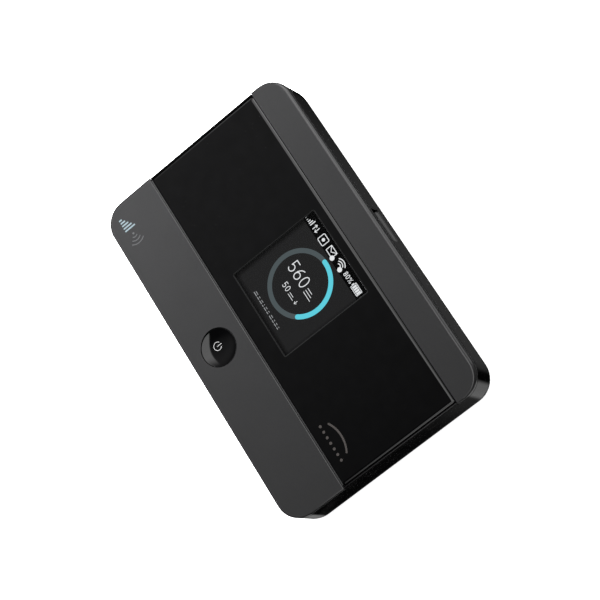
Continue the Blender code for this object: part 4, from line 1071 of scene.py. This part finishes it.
class Studio:
    """World light made of soft-edged panels on a dim surround; the camera itself sees white."""

    def __init__(self, surround):
        self.world = bpy.data.worlds.new("studio")
        bpy.context.scene.world = self.world
        self.world.use_nodes = True
        self.tree = self.world.node_tree
        self.tree.nodes.clear()
        self.way = self.tree.nodes.new("ShaderNodeTexCoord").outputs["Generated"]
        split = self.tree.nodes.new("ShaderNodeSeparateXYZ")
        self.tree.links.new(self.way, split.inputs["Vector"])
        self.azimuth = self.maths('ARCTAN2', split.outputs["Y"], split.outputs["X"])
        self.total = None
        self.add(surround)

    def maths(self, operation, *values):
        node = self.tree.nodes.new("ShaderNodeMath")
        node.operation = operation
        for k, value in enumerate(values):
            if isinstance(value, (int, float)):
                node.inputs[k].default_value = value
            else:
                self.tree.links.new(value, node.inputs[k])
        return node.outputs["Value"]

    def add(self, value):
        self.total = value if self.total is None else self.maths('ADD', self.total, value)

    def along(self, axis):
        node = self.tree.nodes.new("ShaderNodeVectorMath")
        node.operation = 'DOT_PRODUCT'
        node.inputs[1].default_value = Vector(axis).normalized()
        self.tree.links.new(self.way, node.inputs[0])
        return node.outputs["Value"]

    def step(self, value, low, high):
        """Smooth step from 0 at low to 1 at high; low may be above high."""
        node = self.tree.nodes.new("ShaderNodeMapRange")
        node.interpolation_type = 'SMOOTHSTEP'
        ends = (low, high, 0.0, 1.0) if low < high else (high, low, 1.0, 0.0)
        for label, end in zip(("From Min", "From Max", "To Min", "To Max"), ends):
            node.inputs[label].default_value = end
        self.tree.links.new(value, node.inputs["Value"])
        return node.outputs["Result"]

    def panel(self, strength, *edges):
        """Panel of light bounded by edges: (axis, low, high) rises from 0 to 1 along the axis.

        With AZIMUTH as its axis, an edge runs in degrees round Z from +X instead.
        """
        shape = None
        for axis, low, high in edges:
            if axis == AZIMUTH:
                side = self.step(self.azimuth, math.radians(low), math.radians(high))
            else:
                side = self.step(self.along(axis), low, high)
            shape = side if shape is None else self.maths('MULTIPLY', shape, side)
        self.add(self.maths('MULTIPLY', shape, strength))

    def finish(self, backdrop):
        light = self.tree.nodes.new("ShaderNodeBackground")
        self.tree.links.new(self.total, light.inputs["Strength"])
        white = self.tree.nodes.new("ShaderNodeBackground")
        white.inputs["Strength"].default_value = backdrop
        path = self.tree.nodes.new("ShaderNodeLightPath")
        mix = self.tree.nodes.new("ShaderNodeMixShader")
        output = self.tree.nodes.new("ShaderNodeOutputWorld")
        self.tree.links.new(path.outputs["Is Camera Ray"], mix.inputs["Fac"])
        self.tree.links.new(light.outputs["Background"], mix.inputs[1])
        self.tree.links.new(white.outputs["Background"], mix.inputs[2])
        self.tree.links.new(mix.outputs["Shader"], output.inputs["Surface"])


X, Y, Z = (1, 0, 0), (0, 1, 0), (0, 0, 1)
AZIMUTH = "azimuth"
ROUND_DARK = (-0.256, -0.91, 0.325)      # middle of the dark that the dish reflects


BACKDROP = 1.0               # what the camera sees behind the floor
DIM_SURROUND = 0.004         # light from everywhere that no panel covers


def studio():
    """Panels placed for what each polished face mirrors towards the camera."""
    light = Studio(DIM_SURROUND)
    # Mirrored by the button's dish as a crescent
    light.panel(2.9, (ROUND_DARK, 0.52, 0.48), (Y, 0.36, 0.28), (X, -0.75, -0.35),
                (X, 0.5, 0.1), (Z, 0.3, 0.5))
    # Over the +Y side, for the upper band's rounded edge and the long side wall
    light.panel(5.6, (Y, 0.3, 0.37), (Y, 0.67, 0.59), (X, -0.21, -0.5), (Z, 0.2, 0.4))
    light.panel(3.2, (Y, 0.66, 0.76), (X, 0.1, -0.5), (Z, 0.0, 0.25))
    # For the lens's bevels at the +X and -X ends
    light.panel(3.4, (X, 0.4, 0.44), (X, 0.66, 0.58), (Y, -0.33, -0.23), (Y, -0.1, -0.16),
                (Z, 0.4, 0.6))
    light.panel(2.9, (X, -0.78, -0.86), (Y, -0.36, -0.2), (Y, 0.1, -0.05), (Z, 0.05, 0.2))
    # Faint sheen over the flat front
    light.panel(0.25, (X, -0.12, -0.5), (Z, 0.4, 0.8))
    # Low on the -X side
    light.panel(0.75, (X, -0.7, -0.82), (Z, -0.1, -0.35))
    # Under the floor, which mirrors don't see, for the side walls and their corners
    below = (Z, -0.7, -0.85)
    light.panel(0.66, below, (AZIMUTH, -36, -14), (AZIMUTH, 60, 36))
    light.panel(0.52, below, (AZIMUTH, -58, -62), (AZIMUTH, -128, -70))
    light.panel(0.1, below, (AZIMUTH, 85, 118), (AZIMUTH, 160, 150))
    light.panel(0.09, below, (AZIMUTH, -44.5, -40.5), (AZIMUTH, -18, -30))
    light.finish(BACKDROP)


def lamp(name, energy, size, place, aim):
    """Soft square lamp that lights surfaces but isn't mirrored in the gloss."""
    data = bpy.data.lights.new(name, 'AREA')
    data.energy = energy
    data.size = size
    thing = bpy.data.objects.new(name, data)
    bpy.context.collection.objects.link(thing)
    thing.location = place
    thing.rotation_mode = 'QUATERNION'
    thing.rotation_quaternion = (Vector(aim) - Vector(place)).to_track_quat('-Z', 'Y')
    thing.visible_glossy = False
    thing.visible_transmission = False
    return thing


LAMP_POWER = 1.4             # watts
LAMP_SIZE = 0.12
LAMP_PLACE = (-0.15, -0.05, 0.14)

CAMERA_PLACE = Vector((0.1721, 0.1293, 0.4571))
CAMERA_AIM = Vector((0.00398, 0.00319, 0.0159))
PICTURE_UP = Vector((-0.78908, 0.60063, 0.12882))
LENS_LENGTH = 109.1          # millimetres on a 36 mm sensor


def camera():
    data = bpy.data.cameras.new("camera")
    data.lens = LENS_LENGTH
    data.sensor_width = 36.0
    data.clip_start = 0.01
    data.clip_end = 50.0
    thing = bpy.data.objects.new("camera", data)
    bpy.context.collection.objects.link(thing)
    back = (CAMERA_PLACE - CAMERA_AIM).normalized()
    right = PICTURE_UP.cross(back).normalized()
    up = back.cross(right)
    basis = Matrix((right, up, back)).transposed().to_4x4()
    thing.matrix_world = Matrix.Translation(CAMERA_PLACE) @ basis
    bpy.context.scene.camera = thing


# Assembly ---------------------------------------------------------------------------------

carried_over()
front_housing()
band("band_upper", UPPER_LOW, UPPER_HIGH, UPPER_LOW.y, BAND_EDGE_UPPER, "upper_band")
lower = band("band_lower", LOWER_LOW, LOWER_HIGH, LOWER_HIGH.y, BAND_EDGE_LOWER, "lower_band")
CHAMFER = 0.16 * MM
hole = [(0, LOWER_LOW.z - MM), (HOLE_RADIUS, LOWER_LOW.z - MM), (HOLE_RADIUS, FRONT_Z - CHAMFER),
        (HOLE_RADIUS + CHAMFER * 0.3, FRONT_Z - CHAMFER * 0.3), (HOLE_RADIUS + CHAMFER, FRONT_Z),
        (HOLE_RADIUS + CHAMFER, FRONT_Z + MM), (0, FRONT_Z + MM)]
boolean(lower, turned(hole, BUTTON_X, BUTTON_Y, 128))
window_lens()
lens_seal()
screen()
power_button()
menu_key()
band_mark()
lens_mark()

floor()
studio()
lamp("key_lamp", LAMP_POWER, LAMP_SIZE, LAMP_PLACE, (0, 0, 0))
camera()
bpy.context.scene.view_settings.view_transform = 'Standard'
